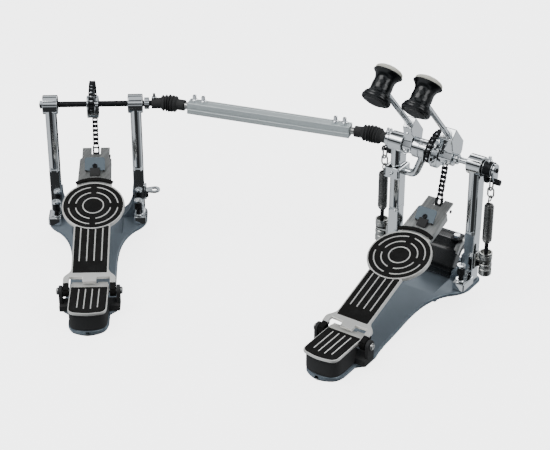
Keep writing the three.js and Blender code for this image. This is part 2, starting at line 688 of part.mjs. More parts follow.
function addBeater(group, name, hubX) {
  const frame = new THREE.Group();
  frame.position.z = axleHeight;
  frame.rotation.x = beaterLean;
  const x = (hubX[0] + hubX[1]) / 2;
  add(frame, `${name}_hub`, beaterHub(hubX), chrome);
  add(frame, `${name}_rod`, beaterRod(x), chrome);
  add(frame, `${name}_head`, beaterHead().translate(x, rodOffset, headAt), plastic);
  add(frame, `${name}_felt`, beaterFelt().translate(x, rodOffset, headAt), feltCream);
  group.add(frame);
}

// ---------------------------------------------------------------- return springs
function springCam(side) {
  const pinZ = axleHeight - camPinDrop;
  const inner = housingEnd + 1.2;
  const outer = side > 0 ? springX + 3 : cuffEnd - gap;
  const knobEnd = side > 0 ? springX + 13 : springX + 3.9;
  const block = barX(10, mirrored([inner, outer], side), 0, axleHeight, 18);
  const lug = across(outline([[-6, 0], [6, 0], [8, -22], [3, -24], [-2, -22]]),
    mirrored([inner, springX - 4.6], side)).translate(0, 0, axleHeight);
  const pin = barX(2.4, mirrored([inner + 1, knobEnd - 1], side), 2, pinZ, 12);
  const knob = barX(4, mirrored([knobEnd - 2.3 - (side > 0 ? 6 : 0), knobEnd], side), 2, pinZ, 12);
  const topScrew = barZ(2.4, [axleHeight + 8, axleHeight + 22], side * (inner + outer) / 2, 0, 8);
  const bore = barX(axleRadius + gap, [-200, 200], 0, axleHeight, 20);
  return cut(join(block, lug, pin, knob, topScrew), bore);
}

// Threaded rod with the two nuts that grip the bracket; the upper one is a cup.
function springRod(side) {
  const plate = 1.5 + 1.4;
  const profile = [
    [0, anchorHeight - 20.8], [nutRadius, anchorHeight - 20.8], [nutRadius, anchorHeight - 11],
    [nutRadius - 1.6, anchorHeight - 10.5], [nutRadius - 1.6, anchorHeight - 9],
    [nutRadius, anchorHeight - 8.5], [nutRadius, anchorHeight - plate],
    [2.6, anchorHeight - plate], [2.6, anchorHeight + plate], [nutRadius, anchorHeight + plate],
    [nutRadius, anchorHeight + 13.5], [7.2, anchorHeight + 13.5], [7.2, anchorHeight + 8],
    [2.6, anchorHeight + 8], [2.6, springBottom - 1], [0, springBottom - 1],
  ];
  return turned(profile, 14).translate(side * springX, 0, 0);
}

function springCoil(side) {
  const profile = [
    [2.6, springBottom - 0.6], [4.6, springBottom - 0.6], [springOuter, springBottom + 6],
    [springOuter, springTop], [springOuter - 2.2, springTop], [springOuter - 2.2, springBottom + 7],
    [2.6, springBottom + 1.2], [2.6, springBottom - 0.6],
  ];
  return turned(profile, 14).translate(side * springX, 0, 0);
}

// The oval link over the cam's pin and the wire eye that takes the top of the spring.
function springLink(side) {
  const pinZ = axleHeight - camPinDrop;
  const top = pinZ + 2.4 + gap;
  const [width, wire] = [5, 2.6];
  const bottom = springTop + 12;
  const oval = (r) => {
    const shape = new THREE.Shape();
    shape.absarc(2, top - width, r, 0, Math.PI, false);
    shape.absarc(2, bottom + width, r, Math.PI, Math.PI * 2, false);
    return shape;
  };
  const ring = cut(across(oval(width + wire), spread(side * springX, 2.6), 8),
    across(oval(width), spread(side * springX, 10), 8));
  const eye = across(outline([[-5, springTop + gap], [5, springTop + gap], [5, springTop + 8],
    [4, bottom + 1], [0, bottom + 1], [-5, springTop + 8]]), spread(side * springX, 2.6));
  return join(ring, eye);
}

// ---------------------------------------------------------------- pieces of the main pedal only
// The arm that carries the second bearing between the two beaters, from a collar on the left post.
function centreSupport() {
  const [x0, x1] = centreHousingX;
  const middle = (x0 + x1) / 2;
  const postX = -postSpacing / 2;
  const low = axleHeight - 41;
  const housing = barX(housingRadius, [x0, x1], 0, axleHeight, 20);
  const elbow = [middle - 12, 0, low];
  const arm = join(
    bar([middle, 0, axleHeight - 8], elbow, 5.6, 12),
    new THREE.SphereGeometry(5.7, 12, 8).translate(...elbow),
    bar(elbow, [postX + 9, 0, low], 5.6, 12));
  const collar = box(spread(postX, postWidth + 9), [-postDepth / 2 - 8, postDepth / 2 + 4],
    [low - 8, low + 8]);
  const column = box(spread(postX, postWidth + 2 * gap), [-postDepth / 2 - 4, postDepth / 2 + gap],
    [0, axleHeight]);
  const bore = barX(axleRadius + runningGap, [-200, 200], 0, axleHeight, 20);
  return cut(join(housing, arm, collar), column, bore);
}

// Hoop clamp: lower jaw on the base, rocking upper jaw on a pin, and the screw that closes it.
const clampPivot = { y: 15, z: 16 };
const clampWidth = [-22, 26];
const clampScrewPlace = [16, 40];
const jawReach = 72;

function lowerJaw() {
  const tongue = box([clampWidth[0] - 7, clampWidth[1] + 7], [lobeFront - 4, jawReach],
    [0, plateThickness]);
  const sides = [
    [clampWidth[0] - 5.6, clampWidth[0] - 0.6], [clampWidth[1] + 0.6, clampWidth[1] + 5.6]];
  const lugs = sides.map((x) => (
    box(x, spread(clampPivot.y, 14), [plateThickness - 1, clampPivot.z + 7])));
  return [tongue, ...lugs];
}

const clampHoles = () => [
  barX(3.5, [clampWidth[0] - 8, clampWidth[1] + 8], clampPivot.y, clampPivot.z, 14)];

function upperJaw() {
  const lever = across(outline([
    [9, 10], [20, 10], [44, 40], [jawReach, 38], [jawReach, 44], [66, 50], [36, 54], [12, 24],
    [8, 18]]), clampWidth);
  const pin = barX(3, [clampWidth[0] - 5, clampWidth[1] + 5], clampPivot.y, clampPivot.z, 14);
  const slot = box(spread(clampScrewPlace[0], 8.4), spread(clampScrewPlace[1] - 3, 20), [0, 80]);
  return cut(join(lever, pin), slot);
}

function clampScrew() {
  const [x, y] = clampScrewPlace;
  const grip = new THREE.CylinderGeometry(7, 7, 8, 6).rotateX(Math.PI / 2).translate(x, y, 62);
  return join(barZ(3, [plateThickness + gap, 62], x, y, 12), grip,
    barZ(11, [55.2, 57.6], x, y, 16));
}

// ---------------------------------------------------------------- assembly
const pedals = new THREE.Group();

const main = new THREE.Group();
buildPedal(main, 'main', {
  extras: lowerJaw(), holes: clampHoles(), axle: mainAxle(), sprocketHub: spread(0, chainWidth + 3.8),
});
add(main, 'main_clamp_jaw', upperJaw(), painted);
add(main, 'main_clamp_screw', clampScrew(), chrome);
add(main, 'main_centre_support', centreSupport(), chrome);
add(main, 'second_axle', secondAxle(), darkSteel);
addBeater(main, 'main_beater', mainHubX);
addBeater(main, 'second_beater', secondHubX);
for (const [label, side] of [['left', -1], ['right', 1]]) {
  add(main, `main_${label}_spring_anchor`, springAnchor(side), darkSteel);
  add(main, `main_${label}_spring_rod`, springRod(side), steel);
  add(main, `main_${label}_spring`, springCoil(side), steel);
  add(main, `main_${label}_spring_link`, springLink(side), steel);
  add(main, `main_${label}_cam`, springCam(side), chrome);
}
pedals.add(main);

const slave = new THREE.Group();
slave.position.copy(slaveJoint).addScaledVector(slaveAxis, -slaveJointX).setZ(0);
slave.rotation.z = slaveTurn;
buildPedal(slave, 'slave', { axle: slaveAxle(), sprocketHub: [-chainWidth / 2 - 2, 11.9] });
add(slave, 'slave_spring_anchor', springAnchor(1), darkSteel);
pedals.add(slave);

shaftPieces(pedals);

export default pedals;
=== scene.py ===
import json
from math import acos, asin, atan2, cos, degrees, hypot, pi, radians, sin, sqrt

import bmesh
import bpy
from bpy.props import FloatProperty, FloatVectorProperty, IntProperty, PointerProperty
from mathutils import Matrix, Vector, noise
from mathutils.geometry import tessellate_polygon


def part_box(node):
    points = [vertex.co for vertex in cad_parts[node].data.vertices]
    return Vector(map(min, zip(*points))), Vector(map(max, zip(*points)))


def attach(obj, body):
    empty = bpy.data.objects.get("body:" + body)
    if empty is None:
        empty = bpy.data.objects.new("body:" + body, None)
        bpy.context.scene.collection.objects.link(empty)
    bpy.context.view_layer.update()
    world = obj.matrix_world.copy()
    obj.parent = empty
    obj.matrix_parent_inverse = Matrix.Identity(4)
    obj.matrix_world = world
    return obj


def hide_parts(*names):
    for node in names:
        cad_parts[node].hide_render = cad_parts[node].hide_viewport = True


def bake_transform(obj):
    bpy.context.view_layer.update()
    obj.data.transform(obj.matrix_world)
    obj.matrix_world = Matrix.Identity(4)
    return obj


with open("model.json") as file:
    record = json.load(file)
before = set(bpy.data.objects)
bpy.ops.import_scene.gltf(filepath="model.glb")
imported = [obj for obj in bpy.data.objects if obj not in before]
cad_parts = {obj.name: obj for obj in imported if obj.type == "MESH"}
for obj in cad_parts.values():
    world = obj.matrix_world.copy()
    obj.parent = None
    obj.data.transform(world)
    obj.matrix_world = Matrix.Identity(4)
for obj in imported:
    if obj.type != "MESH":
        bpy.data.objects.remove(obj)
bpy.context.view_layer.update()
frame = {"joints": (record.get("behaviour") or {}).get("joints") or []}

bl_info = {
    "name": "Double bass drum pedal",
    "version": (1, 0, 0),
    "blender": (4, 5, 0),
    "location": "View3D > Sidebar > Pedal",
    "description": "Builds the detailed pieces of a double bass drum pedal around its packed frame",
    "category": "Add Mesh",
}

MM = 0.001
SHARP_EDGE = radians(38)
IDENTITY = Matrix.Identity(4)
JOINTS = {joint["name"]: joint for joint in frame["joints"]}


def joint_point(name):
    """Where a joint's axis lies, in millimetres."""
    return Vector(JOINTS[name]["pos_m"]) / MM


def corners(node):
    """A packed node's lowest and highest corners, in millimetres."""
    low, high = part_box(node)
    return low / MM, high / MM


# ---------------------------------------------------------------- frames that the pieces are built in
AXLE_HEIGHT = joint_point("main_axle_turn").z
HINGE = joint_point("main_footboard")
INCLINE = radians(18.4)
LEAN = acos(JOINTS["main_beater_height"]["axis"][2])
SLAVE_ALONG = -Vector(JOINTS["slave_axle_turn"]["axis"])
SHAFT_ALONG = -Vector(JOINTS["shaft_turn"]["axis"])
SLAVE_AXLE = joint_point("slave_axle_turn")
MAIN_JOINT = joint_point("shaft_turn")
SLAVE_JOINT = joint_point("slave_swing")

MAIN = IDENTITY
SLAVE = (Matrix.Translation((SLAVE_AXLE.x, SLAVE_AXLE.y, 0))
         @ Matrix.Rotation(atan2(SLAVE_ALONG.y, SLAVE_ALONG.x), 4, "Z"))
BOARD = Matrix.Translation(HINGE) @ Matrix.Rotation(INCLINE, 4, "X")
BEATER = Matrix.Translation((0, 0, AXLE_HEIGHT)) @ Matrix.Rotation(LEAN, 4, "X")
SHAFT = (Matrix.Translation(SLAVE_JOINT)
         @ Matrix.Rotation(atan2(SHAFT_ALONG.y, SHAFT_ALONG.x), 4, "Z"))
PEDALS = (("main", MAIN), ("slave", SLAVE))
ON_AXLE = ((0, 0, AXLE_HEIGHT), (1, 0, 0))
SIDES = (("left", -1), ("right", 1))


# ---------------------------------------------------------------- outlines
class Outline:
    """A flat line of points, drawn with straight and curved strokes."""

    def __init__(self, *start):
        self.points = [Vector(start)]

    def line(self, *ends):
        self.points += [Vector(end) for end in ends]
        return self

    def curve(self, *handles, steps=8):
        """A Bezier stroke: one or two handles, then the end."""
        chain = [self.points[-1], *map(Vector, handles)]
        for i in range(1, steps + 1):
            level = chain
            while len(level) > 1:
                level = [a.lerp(b, i / steps) for a, b in zip(level, level[1:])]
            self.points.append(level[0])
        return self

    def arc(self, centre, radius, start, end, steps=24):
        """An arc between two angles in degrees, joined to what is drawn so far."""
        self.points += arc_points(centre, radius, start, end, steps)
        return self


def arc_points(centre, radius, start, end, steps=24):
    """Points on an arc between two angles in degrees."""
    turns = [radians(start + (end - start) * i / steps) for i in range(steps + 1)]
    return [Vector(centre) + radius * Vector((cos(t), sin(t))) for t in turns]


def circle(radius, centre=(0, 0), steps=32):
    """Points on a full circle."""
    return arc_points(centre, radius, 0, 360, steps)[:-1]


def rectangle(low, high):
    """Four corners, anticlockwise."""
    return [Vector(low), Vector((high[0], low[1])), Vector(high), Vector((low[0], high[1]))]


def plaque(low, high, corner, steps):
    """A rectangle with rounded corners."""
    return softened(rectangle(low, high), corner, steps)


def sided(side, a, b):
    """Two distances to one side of the middle, in rising order."""
    return sorted((side * a, side * b))


def band(inner, outer, low, high):
    """A plain ring's profile, for the lathe."""
    return [(inner, low), (outer, low), (outer, high), (inner, high), (inner, low)]


def mirrored(points):
    """A right half, from front to back, with its mirror image."""
    left = [Vector((-p.x, p.y)) for p in reversed(points) if abs(p.x) > 1e-6]
    return points + left


def softened(points, radius, steps=4, closed=True):
    """The same line with its corners rounded."""
    out, count = [], len(points)
    for i, corner in enumerate(map(Vector, points)):
        if not closed and i in (0, count - 1):
            out.append(corner)
            continue
        before = Vector(points[i - 1]) - corner
        after = Vector(points[(i + 1) % count]) - corner
        reach = min(radius, before.length * 0.45, after.length * 0.45)
        a, b = corner + before.normalized() * reach, corner + after.normalized() * reach
        out += [a.lerp(corner, t).lerp(corner.lerp(b, t), t) for t in [k / steps for k in range(steps + 1)]]
    return out


def area(loop):
    """A loop's area, negative when it runs clockwise."""
    return sum(a.x * b.y - b.x * a.y for a, b in zip(loop, loop[1:] + loop[:1])) / 2


def inset(loop, amount):
    """Moves a loop's points to its left, which is inwards when it runs anticlockwise."""
    out = []
    for i, point in enumerate(loop):
        ways = [(point - loop[i - 1]), (loop[(i + 1) % len(loop)] - point)]
        a, b = [Vector((-w.y, w.x)).normalized() for w in ways]
        out.append(point + (a + b) * (amount / max(0.35, 1 + a.dot(b))))
    return out


PLANES = {
    "xy": lambda u, v, w: Vector((u, v, w)),
    "yz": lambda u, v, w: Vector((w, u, v)),
    "xz": lambda u, v, w: Vector((u, w, v)),
}


# ---------------------------------------------------------------- solids
class Solid:
    """A growing mesh in millimetres; `look` numbers the finish of what is added next."""

    def __init__(self, place=IDENTITY):
        self.points, self.faces, self.looks = [], [], []
        self.look = 0
        self.place = place

    def add(self, points, faces, looks=None):
        start = len(self.points)
        self.points += [self.place @ Vector(p) for p in points]
        self.faces += [[start + i for i in face] for face in faces]
        self.looks += looks or [self.look] * len(faces)
        return self

    def loft(self, rings, looped=False, capped=True):
        """Skins rings of equal length, in order."""
        count = len(rings[0])
        faces = []
        for r in range(len(rings) if looped else len(rings) - 1):
            a, b = r * count, (r + 1) % len(rings) * count
            faces += [[a + i, a + (i + 1) % count, b + (i + 1) % count, b + i] for i in range(count)]
        if capped and not looped:
            last = (len(rings) - 1) * count
            faces += [list(range(count))[::-1], [last + i for i in range(count)]]
        return self.add([p for ring in rings for p in ring], faces)

    def prism(self, outline, low, high, plane="xy", edge=0.6, holes=(), edge_look=None):
        """A flat outline with holes, from one height to another, its rims rounded over."""
        loops = [list(map(Vector, outline))] + [list(map(Vector, hole)) for hole in holes]
        loops = [loop if (area(loop) > 0) == (i == 0) else loop[::-1] for i, loop in enumerate(loops)]
        edge = min(edge, (high - low) * 0.45)
        rim = [(edge * (1 - sin(t)), edge * (1 - cos(t))) for t in (0, pi / 4, pi / 2)]
        levels = [(i, low + h) for i, h in rim] + [(i, high - h) for i, h in reversed(rim)]
        to = PLANES[plane]
        points, faces, looks = [], [], []
        for loop in loops:
            count, start = len(loop), len(points)
            for amount, height in levels:
                points += [to(p.x, p.y, height) for p in inset(loop, amount)]
            for r in range(len(levels) - 1):
                a, b = start + r * count, start + (r + 1) * count
                faces += [[a + i, a + (i + 1) % count, b + (i + 1) % count, b + i] for i in range(count)]
                rounded = edge_look is not None and r != 2
                looks += [edge_look if rounded else self.look] * count
        for level in (0, len(levels) - 1):
            index, flat = [], []
            start = 0
            for loop in loops:
                index += [start + level * len(loop) + i for i in range(len(loop))]
                flat.append([Vector((*p, 0)) for p in inset(loop, levels[level][0])])
                start += len(loop) * len(levels)
            caps = [index] if len(loops) == 1 else [
                [index[i] for i in face] for face in tessellate_polygon(flat)]
            faces += caps
            looks += [self.look] * len(caps)
        return self.add(points, faces, looks)

    def block(self, low, high, edge=0.6, plane="xy", corner=None):
        """A box with rounded edges."""
        u, v, w = {"xy": (0, 1, 2), "yz": (1, 2, 0), "xz": (0, 2, 1)}[plane]
        loop = plaque((low[u], low[v]), (high[u], high[v]), corner or edge * 1.7, 2)
        return self.prism(loop, low[w], high[w], plane, edge)

    def lathe(self, profile, origin=(0, 0, 0), along=(0, 0, 1), sides=48, soft=0.4, knurl=None):
        """Turns (radius, height) points about an axis. A closed profile makes a ring. The radii
        inside the knurl's height range are grooved by its depth."""
        profile = [Vector(p) for p in profile]
        ring = (profile[0] - profile[-1]).length < 1e-6
        if soft:
            if ring:
                profile = softened(profile[:-1], soft, 3)
            else:
                profile = softened(profile, soft, 3, closed=False)
        elif ring:
            profile = profile[:-1]
        turn = Vector((0, 0, 1)).rotation_difference(Vector(along)).to_matrix()
        rings = []
        for r, h in profile:
            row = []
            for i in range(sides):
                groove = 0
                if knurl and knurl[0] < h < knurl[1] and i % 2:
                    groove = knurl[2]
                t = 2 * pi * i / sides
                row.append(Vector(origin)
                           + turn @ Vector(((r - groove) * cos(t), (r - groove) * sin(t), h)))
            rings.append(row)
        return self.loft(rings, looped=ring)

    def bar(self, start, end, radius, sides=32, edge=0.4):
        way = Vector(end) - Vector(start)
        edge = min(edge, radius * 0.5)
        rim = [(radius - edge * (1 - sin(t)), edge * (1 - cos(t))) for t in (0, pi / 4, pi / 2)]
        profile = [(0, 0), *rim, *[(r, way.length - h) for r, h in reversed(rim)], (0, way.length)]
        return self.lathe(profile, start, way.normalized(), sides, soft=0)

    def wire(self, path, radius, sides=12, closed=False):
        """A round wire along a path; radius may be a list, one for each point."""
        path = [Vector(p) for p in path]
        count = len(path)
        radii = radius if isinstance(radius, (list, tuple)) else [radius] * count
        ahead = [(path[(i + 1) % count] if closed or i < count - 1 else path[i])
                 - (path[i - 1] if closed or i else path[i]) for i in range(count)]
        side = ahead[0].orthogonal().normalized()
        rings = []
        for point, way, r in zip(path, ahead, radii):
            way = way.normalized()
            side = (side - way * side.dot(way)).normalized()
            up = way.cross(side)
            rings.append([point + r * (cos(t) * side + sin(t) * up)
                          for t in [2 * pi * k / sides for k in range(sides)]])
        if closed:
            # the frame may come back turned, so the last ring is matched to the first
            first, last = rings[0], rings[-1]
            shift = min(range(sides), key=lambda k: sum(
                (first[i] - last[(i + k) % sides]).length for i in range(0, sides, 3)))
            for n in range(1, count):
                k = round(shift * n / (count - 1))
                rings[n] = [rings[n][(i + k) % sides] for i in range(sides)]
        return self.loft(rings, looped=closed)

    def fork(self, upright=False):
        """A joint's fork: two prongs and the web that joins them."""
        for start, end, low, high in ((-9, 3, -7.2, -5.4), (-9, 3, 5.4, 7.2), (-9.8, -6.6, -6.4, 6.4)):
            if upright:
                self.block((start, -2.6, low), (end, 2.6, high), 0.4)
            else:
                self.block((start, low, -2.6), (end, high, 2.6), 0.4)

    def thread(self, x, y, radius, start, pitch, turns, thickness):
        """A screw thread: fine wire wound upwards round a shank."""
        turned = [2 * pi * i / 12 for i in range(12 * turns)]
        path = [(x + radius * cos(t), y + radius * sin(t), start + pitch * t / (2 * pi)) for t in turned]
        return self.wire(path, thickness, 6)

    def key_screw(self, foot, along, look, size=1.0):
        """A drum-key screw: collar and square head."""
        kept, self.look = self.look, look
        along = Vector(along).normalized()
        turn = Vector((0, 0, 1)).rotation_difference(along).to_matrix().to_4x4()
        outer = self.place
        self.place = outer @ Matrix.Translation(foot) @ turn @ Matrix.Scale(size, 4)
        self.lathe([(0, -1), (3.1, -1), (3.1, 1.2), (3.9, 1.6), (3.9, 2.9), (2.2, 3.4), (0, 3.4)], sides=28)
        self.prism(plaque((-1.9, -1.9), (1.9, 1.9), 0.5, 2), 3, 8.6, edge=0.7)
        self.place, self.look = outer, kept
        return self

    def cap_screw(self, foot, along, radius, height, look):
        """A round-headed screw with a recess."""
        kept, self.look = self.look, look
        outer = self.place
        turn = Vector((0, 0, 1)).rotation_difference(Vector(along)).to_matrix().to_4x4()
        self.place = outer @ Matrix.Translation(foot) @ turn
        self.lathe([(0, 0), (radius, 0), (radius, height * 0.5), (radius * 0.8, height),
                    (radius * 0.42, height), (radius * 0.36, height * 0.4), (0, height * 0.4)], sides=28,
                   soft=0.25)
        self.place, self.look = outer, kept
        return self


def piece(name, solid, looks, body, stands_for=(), place=IDENTITY):
    """Finishes a solid: a clean mesh with its looks, riding on its body."""
    mesh = bpy.data.meshes.new(name)
    mesh.from_pydata([place @ p * MM for p in solid.points], [], solid.faces)
    for look in looks:
        mesh.materials.append(look)
    mesh.polygons.foreach_set("material_index", solid.looks)
    shape = bmesh.new()
    shape.from_mesh(mesh)
    bmesh.ops.remove_doubles(shape, verts=shape.verts, dist=2e-6)
    bmesh.ops.dissolve_degenerate(shape, edges=shape.edges, dist=1e-6)
    bmesh.ops.recalc_face_normals(shape, faces=shape.faces)
    shape.to_mesh(mesh)
    shape.free()
    mesh.polygons.foreach_set("use_smooth", [True] * len(mesh.polygons))
    mesh.set_sharp_from_angle(angle=SHARP_EDGE)
    thing = bpy.data.objects.new(name, mesh)
    bpy.context.scene.collection.objects.link(thing)
    weighted = thing.modifiers.new("even shading", "WEIGHTED_NORMAL")
    weighted.keep_sharp = True
    if body:
        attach(thing, body)
    if stands_for:
        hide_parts(*stands_for)
    return thing


# ---------------------------------------------------------------- finishes
class Signal:
    """A shader socket that takes Python's arithmetic; every operator adds its Math node."""

    def __init__(self, maker, socket):
        self.maker, self.socket = maker, socket

    def math(self, operation, *values):
        return self.maker.add("ShaderNodeMath", {"operation": operation}, dict(enumerate(values)))

    def __add__(self, other):
        return self.math("ADD", self, other)

    def __sub__(self, other):
        return self.math("SUBTRACT", self, other)

    def __rsub__(self, other):
        return self.math("SUBTRACT", other, self)

    def __mul__(self, other):
        return self.math("MULTIPLY", self, other)

    __radd__ = __add__
    __rmul__ = __mul__

    def above(self, low, high):
        """0 below low, 1 above high, even in between."""
        return self.maker.add("ShaderNodeMapRange", {"clamp": True},
                              {"Value": self, "From Min": low, "From Max": high})


class Finish:
    """One material under construction."""

    def __init__(self, name, **constants):
        self.material = bpy.data.materials.new(name)
        self.material.use_nodes = True
        self.tree = self.material.node_tree
        self.tree.nodes.clear()
        self.shader = self.tree.nodes.new("ShaderNodeBsdfPrincipled")
        end = self.tree.nodes.new("ShaderNodeOutputMaterial")
        self.tree.links.new(self.shader.outputs[0], end.inputs["Surface"])
        for socket, value in constants.items():
            self.set(socket.replace("_", " ").title().replace("Ior", "IOR"), value)
        self.place = self.add("ShaderNodeTexCoord", out="Object")

    def set(self, socket, value):
        self.plug(self.shader.inputs[socket], value)

    def plug(self, socket, value):
        if isinstance(value, Signal):
            self.tree.links.new(value.socket, socket)
        elif hasattr(socket.default_value,
                     "__len__") and len(socket.default_value) == 4 and len(value) == 3:
            socket.default_value = (*value, 1)
        else:
            socket.default_value = value

    def add(self, kind, settings=None, sockets=None, out=0):
        """A node of any kind: its settings first, then its sockets' values and links."""
        node = self.tree.nodes.new(kind)
        for key, value in (settings or {}).items():
            setattr(node, key, value)
        for key, value in (sockets or {}).items():
            self.plug(node.inputs[key], value)
        return Signal(self, node.outputs[out])

    def done(self, color, roughness, normal=None):
        """Plugs in what varies over the surface, and hands over the material."""
        self.set("Base Color", color)
        self.set("Roughness", roughness)
        if normal:
            self.set("Normal", normal)
        return self.material

    def stretched(self, scale):
        return self.add("ShaderNodeVectorMath", {"operation": "MULTIPLY"}, {0: self.place, 1: scale})

    def noise(self, scale, detail=3, roughness=0.5, stretch=(1, 1, 1), distortion=0):
        return self.add("ShaderNodeTexNoise", {}, {
            "Vector": self.stretched(stretch), "Scale": scale, "Detail": detail,
            "Roughness": roughness, "Distortion": distortion})

    def cells(self, scale):
        return self.add("ShaderNodeTexVoronoi", {"feature": "F1"},
                        {"Vector": self.stretched((1, 1, 1)), "Scale": scale}, "Distance")

    def mix(self, factor, a, b):
        return self.add("ShaderNodeMix", {"data_type": "RGBA"}, {0: factor, 6: a, 7: b}, 2)

    def bump(self, height, distance, strength=1.0):
        return self.add("ShaderNodeBump", {}, {"Height": height, "Distance": distance,
                                               "Strength": strength})

    def hollows(self, reach=0.002):
        """Near 1 in the open and lower in corners, where dust and shade gather."""
        return self.add("ShaderNodeAmbientOcclusion", {"samples": 4}, {"Distance": reach}, "AO")


def lighter(color, amount):
    """A colour, a share of the way to white, or to black when the share is negative."""
    goal = 1 if amount > 0 else 0
    return tuple(c + (goal - c) * abs(amount) for c in color)


def chrome_finish(color):
    """Polished chrome with faint smears."""
    f = Finish("chrome", metallic=1.0, specular_ior_level=0.5)
    smear = f.noise(38, 4, 0.6)
    return f.done(f.mix(smear.above(0.35, 0.75), color, lighter(color, -0.1)),
                  0.045 + 0.07 * smear.above(0.45, 0.8) + 0.03 * f.noise(700, 2),
                  f.bump(f.noise(60, 2), 0.0002, 0.25))


def steel_finish(name, color, grain, rough=0.3):
    """Brushed steel, its lines running where the grain's stretch is small."""
    f = Finish(name, metallic=1.0)
    lines = f.noise(420, 3, 0.6, grain)
    patch = f.noise(45, 3)
    tone = f.mix(lines.above(0.3, 0.7), lighter(color, -0.22), lighter(color, 0.18))
    return f.done(f.mix(patch.above(0.4, 0.8), tone, lighter(color, -0.12)), rough - 0.1 + 0.2 * lines
                  + 0.08 * patch,
                  f.bump(lines, 0.00008, 0.6))


def blackened_finish(name, color, rough=0.32):
    f = Finish(name, metallic=0.6, specular_ior_level=0.35)
    scuff = f.noise(260, 5, 0.65)
    return f.done(f.mix(scuff.above(0.55, 0.75), color, lighter(color, 0.05)),
                  rough + 0.22 * f.noise(90, 3),
                  f.bump(scuff, 0.0001, 0.4))


def paint_finish(name, color):
    """Satin metallic paint over a casting."""
    f = Finish(name, metallic=0.2, specular_ior_level=0.12, coat_roughness=0.25, coat_weight=0.02)
    flake = f.cells(2600)
    cloud = f.noise(22, 4, 0.6)
    tone = f.mix(flake.above(0.15, 0.5), lighter(color, 0.002), lighter(color, -0.12))
    return f.done(f.mix(cloud.above(0.35, 0.75), tone, lighter(color, 0.0015)), 0.40 + 0.16 * cloud,
                  f.bump(f.noise(900, 3) + 0.5 * flake, 0.00006, 0.5))


def rim_highlight_finish(color):
    """Painted highlight along the base's edges, where the rim catches the light, with patches of worn
    paint.
    """
    f = Finish("painted_rim", metallic=0.6)
    wear = f.noise(180, 4, 0.6)
    return f.done(f.mix(wear.above(0.4, 0.62), color, lighter(color, 0.12)), 0.26 + 0.2 * wear)


def board_finish(color):
    """Fine-cast silver with a satin lacquer."""
    f = Finish("board_silver", metallic=0.45, coat_roughness=0.3, coat_weight=0.15)
    grain, cloud = f.noise(1500, 3, 0.6), f.noise(30, 3)
    return f.done(f.mix(cloud.above(0.35, 0.7), color, lighter(color, -0.08)), 0.22 + 0.16 * grain
                  + 0.06 * cloud,
                  f.bump(grain, 0.00006, 0.35))


def grip_finish(color):
    """Matt black grip paint, grainy like fine sandpaper."""
    f = Finish("grip_black", specular_ior_level=0.12)
    grit, dust = f.cells(1900), f.noise(70, 5, 0.65)
    return f.done(f.mix(dust.above(0.45, 0.8), color, lighter(color, 0.012)), 0.62 + 0.22 * dust,
                  f.bump(grit, 0.00016, 0.7))


def tube_finish(color):
    """Anodised aluminium with faint drawing lines along X."""
    f = Finish("anodised_tube", metallic=0.55, coat_roughness=0.3, coat_weight=0.1)
    lines = f.noise(900, 2, 0.5, (0.012, 1, 1))
    return f.done(f.mix(lines.above(0.3, 0.7), lighter(color, -0.08), lighter(color, 0.08)),
                  0.27 + 0.14 * lines,
                  f.bump(lines, 0.00005, 0.4))


def plastic_finish(name, color, rough, grain=1400, coat=0.0):
    """Moulded black plastic."""
    f = Finish(name, specular_ior_level=0.35, coat_roughness=0.12, coat_weight=coat)
    skin, cloud = f.noise(grain, 3, 0.6), f.noise(55, 4, 0.6)
    return f.done(f.mix(cloud.above(0.45, 0.8), color, lighter(color, 0.012)), rough + 0.12 * cloud
                  + 0.06 * skin,
                  f.bump(skin, 0.0001, 0.35))


def rubber_finish(color):
    """Dull black rubber, dusty in its folds."""
    f = Finish("rubber", specular_ior_level=0.3)
    dust = 1 - f.hollows(0.003)
    skin = f.noise(620, 4, 0.6)
    tone = f.mix(dust.above(0.35, 0.9) * skin, color, lighter(color, 0.02))
    return f.done(tone, 0.42 + 0.2 * skin + 0.15 * dust,
                  f.bump(skin, 0.0001, 0.4))


def felt_finish(color):
    """Pressed wool felt: matted fibres, a little yellowed."""
    f = Finish("felt", sheen_weight=0.35, sheen_roughness=0.5, specular_ior_level=0.15)
    fibre = f.noise(520, 6, 0.75, distortion=1.6)
    tuft, stain = f.noise(160, 4, 0.6), f.noise(40, 3)
    tone = f.mix(fibre.above(0.35, 0.65), lighter(color, -0.16), lighter(color, 0.22))
    return f.done(f.mix(stain.above(0.45, 0.8), tone, (color[0] * 0.92, color[1] * 0.88, color[2] * 0.72)),
                  0.86 + 0.12 * fibre,
                  f.bump(fibre + 0.8 * tuft, 0.0006, 0.8))


